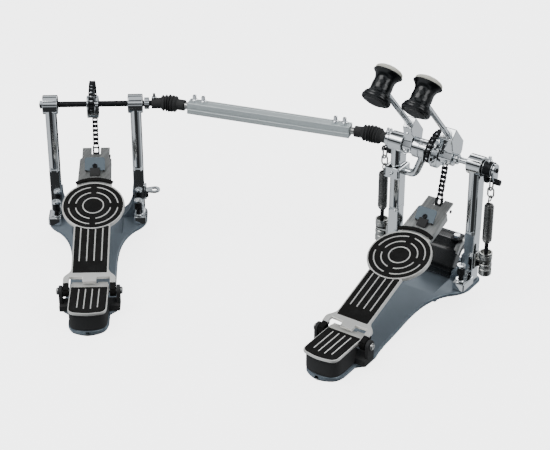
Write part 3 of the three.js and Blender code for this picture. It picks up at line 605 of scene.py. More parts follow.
# ---------------------------------------------------------------- what a user may change
class PedalFinishes(bpy.types.PropertyGroup):
    """Colours of the pedal's finishes."""

    def swatch(name, text, color):
        return FloatVectorProperty(name=name, description=text, subtype="COLOR", size=3,
                                   min=0, max=1, default=color)

    chrome: swatch("Chrome", "Posts, beater hubs, rods and clamps", (0.36, 0.385, 0.405))
    steel: swatch("Steel", "Toe plates, springs and pins", (0.50, 0.50, 0.48))
    blackened: swatch("Blackened steel", "Chain, axles and anchors", (0.018, 0.019, 0.021))
    paint: swatch("Base paint", "Base plates and the hoop clamp", (0.007, 0.012, 0.017))
    # rim: a painted highlight, the lighter line where the base's edge catches the light; the toe stops take
    # a lighter grey of it
    rim: swatch("Base rim", "The bright line along the base plate's edge", (0.16, 0.21, 0.25))
    board: swatch("Board silver", "Footboards and heel plates", (0.93, 0.915, 0.87))
    grip: swatch("Grip black", "Inlays of the footboards and heel plates", (0.010, 0.0095, 0.009))
    tube: swatch("Drive tube", "The telescopic square tube", (0.70, 0.76, 0.76))
    plastic: swatch("Black plastic", "Heel blocks and knobs", (0.006, 0.006, 0.007))
    head: swatch("Beater head", "The moulded beater heads", (0.005, 0.006, 0.007))
    felt: swatch("Felt", "The felt faces", (0.74, 0.71, 0.62))
    rubber: swatch("Rubber", "Boots and soles", (0.007, 0.007, 0.008))

    del swatch


def length(name, text, millimetres):
    return FloatProperty(name=name, description=text, default=millimetres * MM, min=0,
                         unit="LENGTH", subtype="DISTANCE", precision=4)


class FrameSizes(bpy.types.PropertyGroup):
    """Sizes of the posts, housings and base plates."""

    post_at: length("Post", "From the pedal's middle to a post's centre line",
                    (corners("main_right_post")[0].x + corners("main_right_post")[1].x) / 2)
    housing_radius: length("Housing radius", "Outside of a bearing housing", 13.6)
    housing_length: length("Housing length", "Along the axle", 21)
    axle_radius: length("Axle radius", "Radius of every axle", 4.2)
    plate: length("Plate thickness", "Base plate with its sole", 7)
    sole: length("Sole thickness", "Rubber under the base plate", 1.8)
    lug_top: length("Foot lug", "Height of the lug that holds the spur", 37)


class BoardSizes(bpy.types.PropertyGroup):
    """Sizes of the footboards, along and square to the board."""

    half_width: length("Half width", "Half of the board's narrow part", 25.3)
    top: length("Top", "Tread above the hinge's axis", 9.9)
    thickness: length("Thickness", "Board thickness", 5)
    disc_at: length("Disc", "From the hinge to the disc's centre", 146.4)
    disc_radius: length("Disc radius", "The round pad's radius", 44.1)
    end: length("Board end", "From the hinge to the toe plate", 188)
    toe_end: length("Toe", "From the hinge to the toe plate's tip", 260.5)
    line_width: length("Line width", "Raised silver lines of the tread", 1.75)


class ChainSizes(bpy.types.PropertyGroup):
    """Sizes of the chains and sprockets."""

    pitch: length("Pitch", "Between two rollers", 6.35)
    teeth: IntProperty(name="Teeth", description="Teeth of each sprocket", default=30, min=12, max=60)
    width: length("Chain width", "Over the outer plates", 7.8)
    plate_height: length("Plate height", "Height of a link plate", 5.4)


class BeaterSizes(bpy.types.PropertyGroup):
    """Sizes of the beaters."""

    rod_radius: length("Rod radius", "Radius of a beater rod", 3.9)
    rod_offset: length("Rod offset", "Rod axis in front of the axle", 19.6)
    head_at: length("Head", "From the axle to the head's axis, along the rod", 140.7)
    rim_radius: length("Rim radius", "Radius of the head's two ends", 20)
    half_length: length("Half length", "Half of the moulded head", 20)
    dome: length("Felt dome", "How far the felt stands out", 8.5)


class SpringSizes(bpy.types.PropertyGroup):
    """Sizes of the return springs."""

    outer: length("Spring radius", "Outside of the coils", 6.8)
    wire: length("Wire radius", "Half of the spring wire's thickness", 0.95)
    coils: IntProperty(name="Coils", description="Turns of each spring", default=30, min=6, max=40)


class ShaftSizes(bpy.types.PropertyGroup):
    """Sizes of the drive shaft."""

    tube_side: length("Tube side", "Side of the square tube", 17)
    rod_radius: length("Rod radius", "The sliding rods' radius", 5)
    boot_radius: length("Boot radius", "The largest rib", 12.6)
    cuff_radius: length("Cuff radius", "The boot's plain ends", 7.8)


GROUPS = {"finishes": PedalFinishes, "frame": FrameSizes, "board": BoardSizes, "chain": ChainSizes,
          "beater": BeaterSizes, "spring": SpringSizes, "shaft": ShaftSizes}


class PedalSettings(bpy.types.PropertyGroup):
    """All that a user may change."""

    __annotations__ = {name: PointerProperty(type=group) for name, group in GROUPS.items()}


class Sizes:
    """One group's values, its lengths in millimetres."""

    def __init__(self, name):
        group = getattr(bpy.context.scene.pedal, name)
        for key in GROUPS[name].__annotations__:
            value = getattr(group, key)
            setattr(self, key, round(value / MM, 4) if isinstance(value, float) else value)


def finish(name):
    """A finish by name, made when it is first asked for."""
    if name in bpy.data.materials:
        return bpy.data.materials[name]
    colors = bpy.context.scene.pedal.finishes
    color = {key: tuple(getattr(colors, key)) for key in PedalFinishes.__annotations__}
    makers = {
        "chrome": lambda: chrome_finish(color["chrome"]),
        "brushed_steel": lambda: steel_finish("brushed_steel", color["steel"], (1, 0.03, 0.03)),
        "spring_steel": lambda: steel_finish("spring_steel", lighter(color["steel"], -0.55), (1, 1, 1),
                                             0.25),
        "turned_steel": lambda: steel_finish("turned_steel", color["steel"], (1, 1, 1), 0.2),
        "blackened": lambda: blackened_finish("blackened", color["blackened"]),
        "chain_black": lambda: blackened_finish("chain_black", color["blackened"], 0.24),
        "painted": lambda: paint_finish("painted", color["paint"]),
        "toe_grey": lambda: paint_finish("toe_grey", lighter(color["rim"], 0.05)),
        # the rim finish is a painted highlight along the base's edges, with some worn paint in it
        "painted_rim": lambda: rim_highlight_finish(color["rim"]),
        "board_silver": lambda: board_finish(color["board"]),
        "grip_black": lambda: grip_finish(color["grip"]),
        "anodised_tube": lambda: tube_finish(color["tube"]),
        "black_plastic": lambda: plastic_finish("black_plastic", color["plastic"], 0.34, coat=0.2),
        "head_gloss": lambda: plastic_finish("head_gloss", color["head"], 0.16, 500, 0.3),
        "head_face": lambda: plastic_finish("head_face", lighter(color["head"], 0.06), 0.38, 500),
        "felt": lambda: felt_finish(color["felt"]),
        "rubber": lambda: rubber_finish(color["rubber"]),
    }
    return makers[name]()


def finishes(*names):
    """Several finishes, in the order of their looks."""
    return [finish(name) for name in names]


# ---------------------------------------------------------------- base, posts and spurs
LOBE_LIFT = 18
RAMP = (-175, -45)
POST_FOOT = 25.4
SPUR_AT = (59, -25)
SPUR_TIP = 17.4


def base_half():
    """Right half of the cast base's outline: wide under the posts, a waist, and a narrow heel."""
    half = Outline(0, 62).line((31, 62)).curve((33.6, 62), (34, 60), steps=4).line((34, 17.6), (62, 15))
    half.curve((69, 14.8), (71, 12), (71, 4), steps=6).line((71, -20))
    half.curve((69, -38), (54, -50), steps=6).curve((38, -69), (32, -92), (32, -131), steps=14)
    half.line((32, -172)).curve((33, -192), (37, -205), steps=5).line((37, -231))
    half.curve((31, -236), (27.5, -241), steps=4).line((27.5, -262))
    half.curve((27.5, -280), (16.5, -285.6), steps=7).curve((8, -290.3), (0, -291), steps=4)
    return half.points


def half_width(y):
    """The base's half width at a place along it."""
    points = base_half()[1:]
    for a, b in zip(points, points[1:]):
        if b.y <= y <= a.y and a.y > b.y:
            return b.x + (a.x - b.x) * (y - b.y) / (a.y - b.y)
    return points[0].x if y > 0 else points[-1].x


def base_section(y, thin, plate, sole):
    """The casting cut across: its two lobes and, between them, the low channel."""
    w = max(half_width(y), 3)
    slope = min(1, max(0, (y - RAMP[0]) / (RAMP[1] - RAMP[0])))
    lift = LOBE_LIFT * slope * (0.5 + 0.5 * slope * (3 - 2 * slope))
    lift *= min(1, max(0, (18.5 - y) / 3))
    dip = min(1, max(0, (y + 60) / 14)) * lift
    top = plate + lift
    # points flagged 1 form the rolled edge, which takes the painted highlight look
    shape = [(w, top - 2.4, 1), (w - 0.3, top - 1.2, 1), (w - 1.0, top - 0.35, 1), (w - 2.1, top, 0)]
    shape += [(min(x, w - 2.6), top - dip * share, 0) for x, share in
              ((37.4, 0), (36.4, 0.06), (35.7, 0.25), (35.2, 0.5), (34.7, 0.75), (34, 0.94), (33, 1))]
    under = [(x, z - (plate - sole if i > 2 else 2.4 - 0.7 * i), 0) for i, (x, z, _) in enumerate(shape)]
    upper = [(x, z - thin, look) for x, z, look in shape]
    upper += [(-x, z, look) for x, z, look in upper[::-1]]
    lower = [(x, z + thin, look) for x, z, look in under[::-1]]
    lower = [(-x, z, look) for x, z, look in lower[::-1]] + lower
    return upper + lower


class PEDAL_OT_bases(bpy.types.Operator):
    """Base plates with their gussets, rims with a painted highlight and some worn paint, and rubber soles
    """
    bl_idname = "pedal.bases"
    bl_label = "Base plates"

    def execute(self, context):
        s = Sizes("frame")
        bends = {-57.5, -55, -52, -49, -46.5, 15.8, 16.6, 18, 18.5}
        ys = sorted({round(p.y, 3) for p in base_half()} | set(range(-280, 62, 10)) | bends)
        stations = [(y, 0) for y in ys if -290.4 < y < 61.4]
        stations = [(-290.9, 1.4), (-290.4, 0.4), *stations, (61.4, 0.5), (62, 1.5)]
        for name, place in PEDALS:
            base = Solid()
            sections = [base_section(y, thin, s.plate, s.sole) for y, thin in stations]
            rings = [[(x, y, z) for x, z, _ in section] for (y, _), section in zip(stations, sections)]
            base.loft(rings)
            count = len(sections[0])
            # faces between flagged points take look 1, the painted edge highlight with some wear;
            # edge_look=1 below gives the gusset ribs and mounts the same
            looks = [1 if sections[0][i][2] and sections[0][(i + 1) % count][2] else 0
                     for i in range(count)]
            base.looks = looks * (len(rings) - 1) + [0, 0]
            top = s.plate + LOBE_LIFT
            inner = s.post_at - 7.8
            for _, side in SIDES:
                rib = Outline(side * 36, top - 1).line((side * inner, top - 1), (side * inner, 65.5))
                rib.curve((side * (inner - 1.5), 48), (side * (inner - 6), top + 8), (side * 36, top + 2.6),
                          steps=12)
                base.prism(rib.points, -13, 13, "xz", edge=1.4, edge_look=1)
                base.prism(rectangle((side * inner - 1.2, -12), (side * inner + 1.2, 12)), top - 1, 67,
                           edge=0.5)
            if name == "main":
                base.prism(plaque((-29, 50), (33, 72), 4, 3), s.sole, s.plate, edge=1.2, edge_look=1)
                for low, high in ((-27.6, -22.6), (26.6, 31.6)):
                    lug = Outline(8, 6).line((22, 6), (22, 16)).arc((15, 16), 7, 0, 180, 12).line((8, 6))
                    base.prism(lug.points[:-1], low, high, "yz", edge=0.9, edge_look=1)
            piece(f"{name}_base_casting", base, finishes("painted", "painted_rim"), f"{name}_frame",
                  [f"{name}_base_plate"], place)
            sole = Solid()
            heel = [p for p in base_half() if p.y < RAMP[0] - 4]
            heel = mirrored([Vector((0, RAMP[0] - 3)), Vector((32.4, RAMP[0] - 3)), *heel])
            sole.prism(inset(heel[::-1] if area(heel) < 0 else heel, 0.8), 0, s.sole + 0.4, edge=0.5)
            sole.prism(plaque((-32, -44), (32, 61), 3, 3), 0, s.sole + 0.4, edge=0.5)
            piece(f"{name}_sole", sole, finishes("rubber"), f"{name}_frame", place=place)
        return {"FINISHED"}


class PEDAL_OT_posts(bpy.types.Operator):
    """Chrome posts with slotted shanks, foot lugs, bearing housings and ball bearings"""
    bl_idname = "pedal.posts"
    bl_label = "Posts and bearings"

    def execute(self, context):
        s = Sizes("frame")
        half = s.housing_length / 2
        for name, place in PEDALS:
            for label, side in SIDES:
                x = side * s.post_at
                foot = (side * SPUR_AT[0], SPUR_AT[1], 0)
                post = Solid()
                slot = plaque((-6.4, 46.2), (-1.4, 84.8), 2.4, 4)
                post.prism(rectangle((-9, POST_FOOT), (9, 100)), x - 7.5, x + 7.5, "yz", edge=1.1,
                           holes=[slot])
                front = Outline(7.5, -5).line((7.5, 9), (-7.5, 9), (-7.5, -5))
                ridge = arc_points((0, -5), 7.5, 180, 360, 18)[1:-1]
                shank = [p + Vector((x, 0)) for p in front.points + ridge]
                post.prism(shank, 105.2, AXLE_HEIGHT - 4, edge=0.5)
                notch = [(-4, -12.2), (-4, -7), (4, -7), (4, -12.2)]
                waist = [p for p in ridge if p.x < -4.1] + list(map(Vector, notch)) + [p for p in ridge
                                                                                       if p.x > 4.1]
                post.prism([p + Vector((x, 0)) for p in front.points + waist], 99, 105.3, edge=0.3)
                outer, inner = side * (s.post_at + 10.5), side * (s.post_at - 7.5)
                lug = plaque((min(inner, outer), -37), (max(inner, outer), -7.5), 2.4, 3)
                post.prism(lug, POST_FOOT, s.lug_top, edge=1.6, holes=[circle(3.5, foot[:2], 24)])
                low, high = s.lug_top - 0.4, s.lug_top + 1.1
                collar = band(3.6, 6.6, low, high)
                post.lathe(collar, foot, sides=40)
                r = s.housing_radius
                shell = [(11.2, -half), (r, -half), (r, half), (11.2, half), (11.2, half - 1.2),
                         (4.9, half - 1.2),
                         (4.9, 1.2 - half), (11.2, 1.2 - half), (11.2, -half)]
                post.lathe(shell, (x, 0, AXLE_HEIGHT), (1, 0, 0), 64, soft=1.1)
                piece(f"{name}_{label}_post_casting", post, finishes("chrome"), f"{name}_frame",
                      [f"{name}_{label}_post"], place)
                bearing = Solid()
                for way in (-1, 1):
                    face = half - 0.35
                    rings = ((11.1, 9.0, face, 0), (8.9, 6.7, face - 0.35, 1), (6.6, 4.9, face, 0))
                    for wide, narrow, height, look in rings:
                        bearing.look = look
                        bearing.lathe(band(narrow, wide, half - 1.3, height), (x, 0, AXLE_HEIGHT),
                                      (way, 0, 0), 48, soft=0.2)
                piece(f"{name}_{label}_bearing", bearing, finishes("turned_steel", "rubber"),
                      f"{name}_frame", place=place)
        return {"FINISHED"}


class PEDAL_OT_spurs(bpy.types.Operator):
    """Pointed spurs with coiled grips"""
    bl_idname = "pedal.spurs"
    bl_label = "Spurs"

    def execute(self, context):
        s = Sizes("frame")
        for name, place in PEDALS:
            for label, side in SIDES:
                foot = (side * SPUR_AT[0], SPUR_AT[1], 0)
                spur = Solid()
                spur.lathe([(0, SPUR_TIP), (2.9, 22.6), (2.9, s.lug_top + 7.5), (0, s.lug_top + 7.5)], foot,
                           sides=32, soft=0.2)
                spur.thread(foot[0], foot[1], 2.95, 23, 1.2, 17, 0.32)
                grip = [(3.9, s.lug_top + 7.3)]
                for i in range(5):
                    z = s.lug_top + 8.4 + i * 2.35
                    grip += [(5.4, z), (5.4, z + 1.3), (4.5, z + 1.8)]
                spur.lathe([(0, s.lug_top + 7.3), *grip, (4.2, 57), (0, 57)], foot, sides=32, soft=0.35,
                           knurl=(0, 56, 0.22))
                spur.look = 1
                spur.lathe([(0, 56.6), (6, 56.6), (6, 59.8), (3.4, 59.8), (3.4, 58), (0, 58)], foot,
                           sides=40)
                piece(f"{name}_{label}_spur_screw", spur, finishes("blackened", "chrome"),
                      f"{name}_{label}_spur", [f"{name}_{label}_spur"], place)
        return {"FINISHED"}


# ---------------------------------------------------------------- heel and footboard
class PEDAL_OT_heels(bpy.types.Operator):
    """Heel blocks, heel plates with their grip inlay, and hinge pins"""
    bl_idname = "pedal.heels"
    bl_label = "Heel rests"

    def execute(self, context):
        hinge_y, hinge_z = HINGE.y, HINGE.z
        for name, place in PEDALS:
            block = Solid()
            body = mirrored(Outline(0, -239.4).line((25.6, -239.4), (25.6, -270))
                            .curve((25.6, -284), (14, -286.6), steps=6).curve((7, -288.2), (0, -288.4),
                                                                              steps=3).points)
            block.prism(body, 7.3, 32.2, edge=1.4)
            block.block((-41.2, -241, 7.3), (41.2, -219, 16.4), 1.2)
            for _, side in SIDES:
                lug = Outline(-219, 8).line((-219, hinge_z)).arc((hinge_y, hinge_z), 8, 0, 180,
                                                                 18).line((-235, 8))
                block.prism(lug.points, *sided(side, 36.5, 41.3), "yz", edge=0.9,
                            holes=[circle(3, (hinge_y, hinge_z), 24)])
            piece(f"{name}_heel_block_moulding", block, finishes("black_plastic"), f"{name}_frame",
                  [f"{name}_heel_block"], place)

            low, top = 32.5, corners("main_heel_plate")[1].z
            rim = Outline(11, -214).line((11, -211.6), (24.5, -211.6), (24.5, -215), (26, -219), (26, -278))
            rim.curve((26, -289), (14, -290), steps=5).curve((7, -291.6), (0, -291.8), steps=3)
            right = rim.points
            left = [Vector((-p.x, p.y)) for p in reversed(right) if p.x > 1e-6]
            plate = Solid()
            plate.prism(right + left, low, top, edge=1.0)
            plate.block((-25.8, hinge_y - 7, hinge_z - 5.6), (25.8, hinge_y + 7, top - 1.2), 1.5, "yz", 3)
            plate.look = 1
            pad = Outline(0, -225.5).line((24.6, -225.5), (24.6, -277.6)).curve((24.6, -287.6),
                                                                                (13.5, -288.7), steps=5)
            pad.curve((6.5, -290.3), (0, -290.4), steps=3)
            plate.prism(softened(mirrored(pad.points), 0.8, 2), top - 1, top + 0.45, edge=0.35)
            plate.look = 0
            for x in (-13.6, -4.6, 4.6, 13.6):
                line = plaque((x - 0.75, -281 + 0.02 * x * x), (x + 0.75, -231), 0.7, 3)
                plate.prism(line, top, top + 0.95, edge=0.3)
            piece(f"{name}_heel_tread", plate, finishes("board_silver", "grip_black"), f"{name}_frame",
                  [f"{name}_heel_plate"], place)

            pin = Solid()
            pin.bar((-44, hinge_y, hinge_z), (44, hinge_y, hinge_z), 2.75)
            for way in (-1, 1):
                pin.lathe([(0, 0), (5, 0), (5, 1.7), (3.6, 3), (1.6, 3.1), (1.4, 2.4), (0, 2.4)],
                          (way * 41.7, hinge_y, hinge_z), (way, 0, 0), 36, soft=0.4)
            piece(f"{name}_pin", pin, finishes("turned_steel"), f"{name}_frame",
                  [f"{name}_hinge_pin"], place)
        return {"FINISHED"}


def ring_rib(solid, centre, radius, width, low, high, spans):
    """Raised lines round a centre, one for each span of degrees."""
    for start, end in spans:
        steps = max(10, round((end - start) / 4))
        closed = end - start >= 360
        if closed:
            solid.prism(circle(radius + width / 2, centre, 90), low, high, edge=0.3,
                        holes=[circle(radius - width / 2, centre, 90)])
        else:
            loop = (arc_points(centre, radius + width / 2, start, end, steps)
                    + arc_points(centre, radius - width / 2, end, start, steps))
            solid.prism(loop, low, high, edge=0.3)


class PEDAL_OT_footboards(bpy.types.Operator):
    """Footboards: the silver casting, its round pad and striped tread"""
    bl_idname = "pedal.footboards"
    bl_label = "Footboards"

    def execute(self, context):
        s = Sizes("board")
        low, top, w = s.top - s.thickness, s.top, s.half_width
        centre = (0, s.disc_at)
        reach = sqrt(s.disc_radius ** 2 - (w - 0.6) ** 2)
        turn = degrees(asin(reach / s.disc_radius))
        for name, place in PEDALS:
            board = Solid(BOARD)
            half = Outline(0, 7.8).line((9.2, 7.8), (9.6, 15.4), (26.8, 16.2), (27.6, 14.6), (27.6, 6.4),
                                        (35.6, 6.4), (35.6, 14))
            half.curve((35.6, 21), (w, 22), (w, 32), steps=8).line((w, s.disc_at - reach))
            half.arc(centre, s.disc_radius, -turn, turn, 28).line((w - 0.6, s.end - 0.3), (0, s.end - 0.3))
            board.prism(mirrored(half.points), low, top, edge=0.9)
            for _, side in SIDES:
                ends = sided(side, 27.7, 35.7)
                board.look = 1
                board.lathe(band(3.3, 7.9, ends[0], ends[1]),
                            along=(1, 0, 0), sides=40, soft=0.7)
                board.block((ends[0], -5, 1), (ends[1], 12, top - 1.4), 1.2, "yz", 3)
            board.look = 0
            # the ribs under the board
            for x in (-18, 0, 18):
                board.block((x - 1.2, 44, low - 4), (x + 1.2, s.end - 8, low + 0.5), 0.5)
            board.look = 1
            board.prism(circle(s.disc_radius - 1.9, centre, 96), top - 1, top + 0.35, edge=0.3)
            strip = Outline(w - 2.1, 23.4).line((w - 2.1, s.disc_at - reach - 2))
            strip.line((-w + 2.1, s.disc_at - reach - 2), (-w + 2.1, 23.4))
            board.prism(softened(strip.points, 1, 3), top - 1, top + 0.3, edge=0.25)
            board.look = 0
            ring_rib(board, centre, s.disc_radius - 1.3, 1.9, top, top + 0.85, [(0, 360)])
            gap = 9.5
            for radius, opening in ((34.6, gap * 0.75), (24.6, gap)):
                spans = [(a + opening, a + 90 - opening) for a in (0, 90, 180, 270)]
                ring_rib(board, centre, radius, s.line_width, top, top + 0.8, spans)
            ring_rib(board, centre, 14.4, s.line_width, top, top + 0.8, [(0, 360)])
            for i in range(4):
                x = (i - 1.5) * (w * 0.4)
                end = s.disc_at - sqrt(s.disc_radius ** 2 - x * x) - 0.6
                board.prism(plaque((x - 0.85, 44), (x + 0.85, end), 0.6, 3), top, top + 0.8, edge=0.3)
            board.look = 1
            stopper = arc_points(centre, 47.2, 58, 122, 20) + arc_points(centre, 52.6, 121, 59, 20)
            board.prism(softened(stopper, 0.8, 2), top - 0.4, top + 2.1, edge=0.6)
            piece(f"{name}_footboard_casting", board, finishes("board_silver", "grip_black"),
                  f"{name}_board",
                  [f"{name}_footboard"], place)
        return {"FINISHED"}


class PEDAL_OT_toes(bpy.types.Operator):
    """Brushed toe plates with the slot for the chain's clip, and the toe stops"""
    bl_idname = "pedal.toes"
    bl_label = "Toe plates and stops"

    def execute(self, context):
        s = Sizes("board")
        low, top, tip = s.top - s.thickness, s.top, s.toe_end
        for name, place in PEDALS:
            plate = Solid(BOARD)
            half = Outline(0, tip - 13).line((6.4, tip - 13), (6.4, tip), (19.6, tip), (19.6, tip - 20),
                                             (22.6, tip - 23), (24.1, s.end + 0.3), (0, s.end + 0.3))
            plate.prism(softened(mirrored(half.points), 0.9, 2), low + 2.2, top, edge=0.5)
            for _, side in SIDES:
                ends = sided(side, 19.3, 22.3)
                plate.block((ends[0], s.end + 3, low - 7), (ends[1], tip - 23, low + 2.6), 0.6)
                ends = sided(side, 6.6, 9.6)
                plate.block((ends[0], tip - 18, low - 1), (ends[1], tip - 1, low + 2.6), 0.5)
            plate.look = 1
            plate.cap_screw((19, 250.5, low - 3), (1, 0, 0), 2.6, 1.6, 1)
            piece(f"{name}_toe_plate_pressing", plate, finishes("brushed_steel", "blackened"),
                  f"{name}_board",
                  [f"{name}_toe_plate"], place)

            stop = Solid(BOARD @ Matrix.Translation((0, 213.6, top + 0.5)) @ Matrix.Rotation(radians(36), 4,
                                                                                             "X"))
            flap = Outline(0, 0).line((14.5, 0), (14.5, 15)).curve((14.5, 19), (10.5, 19),
                                                                   steps=5).line((0, 19))
            stop.prism(softened(mirrored(flap.points), 0.6, 2), 0, 2.4, edge=0.7)
            stop.look = 2
            stop.cap_screw((0, 6.6, 2.4), (0, 0, 1), 3.5, 2, 2)
            stop.place, stop.look = BOARD, 1
            stop.prism([(203, top + 0.3), (214.6, top + 0.3), (218, top + 3.4), (214, top + 5.8),
                        (206, top + 3.4)],
                       -7, 7, "yz", edge=0.6)
            for side in (-1, 1):
                stop.bar((side * 11, 213.6, top + 1.6), (side * 14, 213.6, top + 1.6), 1.5, 20)
            piece(f"{name}_toe_stop_bracket", stop, finishes("toe_grey", "black_plastic", "blackened"),
                  f"{name}_board", [f"{name}_toe_stop"], place)
        return {"FINISHED"}


# ---------------------------------------------------------------- axles, sprockets and chains
HOOK_ALONG = 254
MOST_LINKS = 30


class PEDAL_OT_axles(bpy.types.Operator):
    """Axles with their collars, end nut and joint forks"""
    bl_idname = "pedal.axles"
    bl_label = "Axles"

    def execute(self, context):
        s = Sizes("frame")
        r, z = s.axle_radius, AXLE_HEIGHT
        main = Solid()
        low, high = corners("main_axle")
        main.bar((low.x, 0, z), (high.x, 0, z), r, 40, 0.8)
        collar = band(r, 7, 27.8, 32.6)
        main.lathe(collar, *ON_AXLE, soft=0.5)
        main.lathe(band(r, 8.6, 85.3, 88.6), *ON_AXLE, soft=0.5)
        arm = Outline(8, z + 3).line((6.4, z + 6), (-4, z + 8.4), (-8.4, z + 2), (-7, z - 8), (-3, z - 16))
        main.prism(softened(arm.line((2, z - 22), (7, z - 20), (8, z - 12)).points, 2.4, 4), 85.3, 88.4,
                   "yz", edge=0.8)
        main.look = 1
        main.cap_screw((high.x, 0, z), (1, 0, 0), 3.2, 2.4, 1)
        piece("main_axle_rod", main, finishes("chrome", "blackened"), "main_drive", ["main_axle"])

        low, high = corners("second_axle")
        second = Solid()
        second.bar((MAIN_JOINT.x + 9.4, 0, z), (high.x, 0, z), r, 40, 0.8)
        second.place = Matrix.Translation(MAIN_JOINT) @ Matrix.Rotation(pi, 4, "Z")
        second.fork()
        piece("second_axle_rod", second, finishes("chrome"), "second_drive", ["second_axle"])

        slave = Solid()
        joint_x = (SLAVE.inverted() @ SLAVE_JOINT).x
        slave.bar((-72, 0, z), (joint_x - 9.4, 0, z), r, 40, 0.8)
        slave.place = Matrix.Translation((joint_x, 0, z))
        slave.fork()
        slave.place = IDENTITY
        slave.look = 1
        slave.lathe([(0, -75.4), (3.4, -75.4), (3.4, -74.6), (6.2, -74.4), (6.2, -71.4), (0, -71.4)],
                    *ON_AXLE, 6, soft=0)
        slave.lathe(band(r, 8.4, 72.6, 79.6), *ON_AXLE, soft=0.6)
        slave.key_screw((joint_x - 19.5, 0, z + 7.4), (0, 0, 1), 1, 0.9)
        piece("slave_axle_rod", slave, finishes("blackened", "chrome"), "slave_drive", ["slave_axle"],
              SLAVE)
        return {"FINISHED"}


class Chain:
    """Where the chain runs: round the sprocket, then straight down to the toe plate."""

    def __init__(self):
        s = Sizes("chain")
        self.sizes = s
        self.radius = s.pitch / (2 * sin(pi / s.teeth))
        hook = BOARD @ Vector((0, HOOK_ALONG, Sizes("board").top - 2.5))
        away = hypot(hook.y, hook.z - AXLE_HEIGHT)
        self.leave = degrees(atan2(hook.z - AXLE_HEIGHT, hook.y) + acos(self.radius / away))
        self.drop = sqrt(away ** 2 - self.radius ** 2)
        self.step = 360 / s.teeth
        self.roll = JOINTS["main_chain_unroll"]["range_deg"][1]
        self.pins = [self.drop - i * s.pitch for i in range(MOST_LINKS)]

    def angle(self, along):
        return self.leave - along / self.sizes.pitch * self.step

    def at(self, along):
        """The point at a distance below where the chain leaves the sprocket."""
        if along > 0:
            t = radians(self.leave)
            start = Vector((0, self.radius * cos(t), AXLE_HEIGHT + self.radius * sin(t)))
            return start + along * Vector((0, sin(t), -cos(t)))
        t = radians(self.angle(along))
        return Vector((0, self.radius * cos(t), AXLE_HEIGHT + self.radius * sin(t)))

    def link(self, solid, start, end, outer):
        """Two link plates between two pins; an inner link carries its rollers."""
        s = self.sizes
        a, b = self.at(start), self.at(end)
        way = (b - a).normalized()
        up = Vector((0, -way.z, way.y))
        r = s.plate_height / 2
        half = (b - a).length / 2
        outline = [Vector((-half, 0)) + r * Vector((cos(t), sin(t))) for t in
                   [radians(70 + 220 * i / 8) for i in range(9)]]
        outline += [Vector((half, 0)) + r * Vector((cos(t), sin(t))) for t in
                    [radians(-110 + 220 * i / 8) for i in range(9)]]
        outline[8:10] = [outline[8], Vector((0, -r * 0.72)), outline[9]]
        outline.append(Vector((0, r * 0.72)))
        middle = (a + b) / 2
        loop = [(middle.y + p.x * way.y + p.y * up.y, middle.z + p.x * way.z + p.y * up.z) for p in outline]
        near = s.width / 2 - (0.95 if outer else 1.95)
        for side in (-1, 1):
            solid.prism(loop, *sided(side, near, near + 0.85), "yz", edge=0.22)
        reach, thick = (s.width / 2, 0.95) if outer else (1.9, 2.3)
        solid.look = 1 if outer else 0
        for point in (a, b):
            solid.bar(point - Vector((reach, 0, 0)), point + Vector((reach, 0, 0)), thick, 16, 0.2)
        solid.look = 0


class PEDAL_OT_sprockets(bpy.types.Operator):
    """Toothed sprockets with hubs and the chain's clamp"""
    bl_idname = "pedal.sprockets"
    bl_label = "Sprockets"

    def execute(self, context):
        chain = Chain()
        s = chain.sizes
        phase = chain.angle([p for p in chain.pins if p < 0][0])
        rows = ((-2.6, -1.5), (0, -1.95), (2.6, -1.5), (4.5, 0.8), (7.5, 0.8))
        teeth = []
        for i in range(s.teeth):
            for turn, height in rows:
                turned = (phase + i * chain.step + turn - chain.leave + 10) % 360
                reach = chain.radius + height if turned < 192 - chain.leave else 15
                t = radians(phase + i * chain.step + turn)
                teeth.append(Vector((reach * cos(t), AXLE_HEIGHT + reach * sin(t))))
        for name, place in PEDALS:
            hub = (-5.85, 5.85) if name == "main" else (-8.2, 8.2)
            wheel = Solid()
            windows = [circle(4.1, (18.8 * cos(radians(a)), AXLE_HEIGHT + 18.8 * sin(radians(a))), 24)
                       for a in range(round(chain.leave) + 12, 160, 40)]
            wheel.prism(teeth, -1.5, 1.5, "yz", edge=0.3, holes=windows)
            wheel.lathe(band(4.4, 12, hub[0], hub[1]),
                        *ON_AXLE, 56, soft=0.8)
            for side in (-1, 1):
                cheek = (arc_points((0, AXLE_HEIGHT), chain.radius + 1.6, 150, 181, 16)
                         + arc_points((0, AXLE_HEIGHT), 11, 181, 150, 8))
                wheel.prism(softened(cheek, 0.5, 2), *sided(side, 4.2, 5.9), "yz", edge=0.5)
            grip = (arc_points((0, AXLE_HEIGHT), chain.radius - 3, 151, 180, 12)
                    + arc_points((0, AXLE_HEIGHT), 11, 180, 151, 8))
            wheel.prism(grip, -5.2, 5.2, "yz", edge=0.4)
            wheel.key_screw((0, -12.4, AXLE_HEIGHT - 6), (0, -1, -0.2), 0, 0.62)
            yoke = [(-12.6, 4), (-13, -11), (-9, -18), (6, -18), (8.6, -12), (8, 2)]
            wheel.prism(softened([(y, AXLE_HEIGHT + z) for y, z in yoke], 1.8, 4), hub[0] + 0.1,
                        hub[1] - 0.1,
                        "yz", edge=0.8)
            wheel.look = 1
            t = radians(172)
            at = Vector((5.8, (chain.radius - 2) * cos(t), AXLE_HEIGHT + (chain.radius - 2) * sin(t)))
            wheel.cap_screw(at, (1, 0, 0), 2.4, 1.5, 1)
            piece(f"{name}_sprocket_wheel", wheel, finishes("chrome", "blackened"), f"{name}_drive",
                  [f"{name}_sprocket"], place)
        return {"FINISHED"}


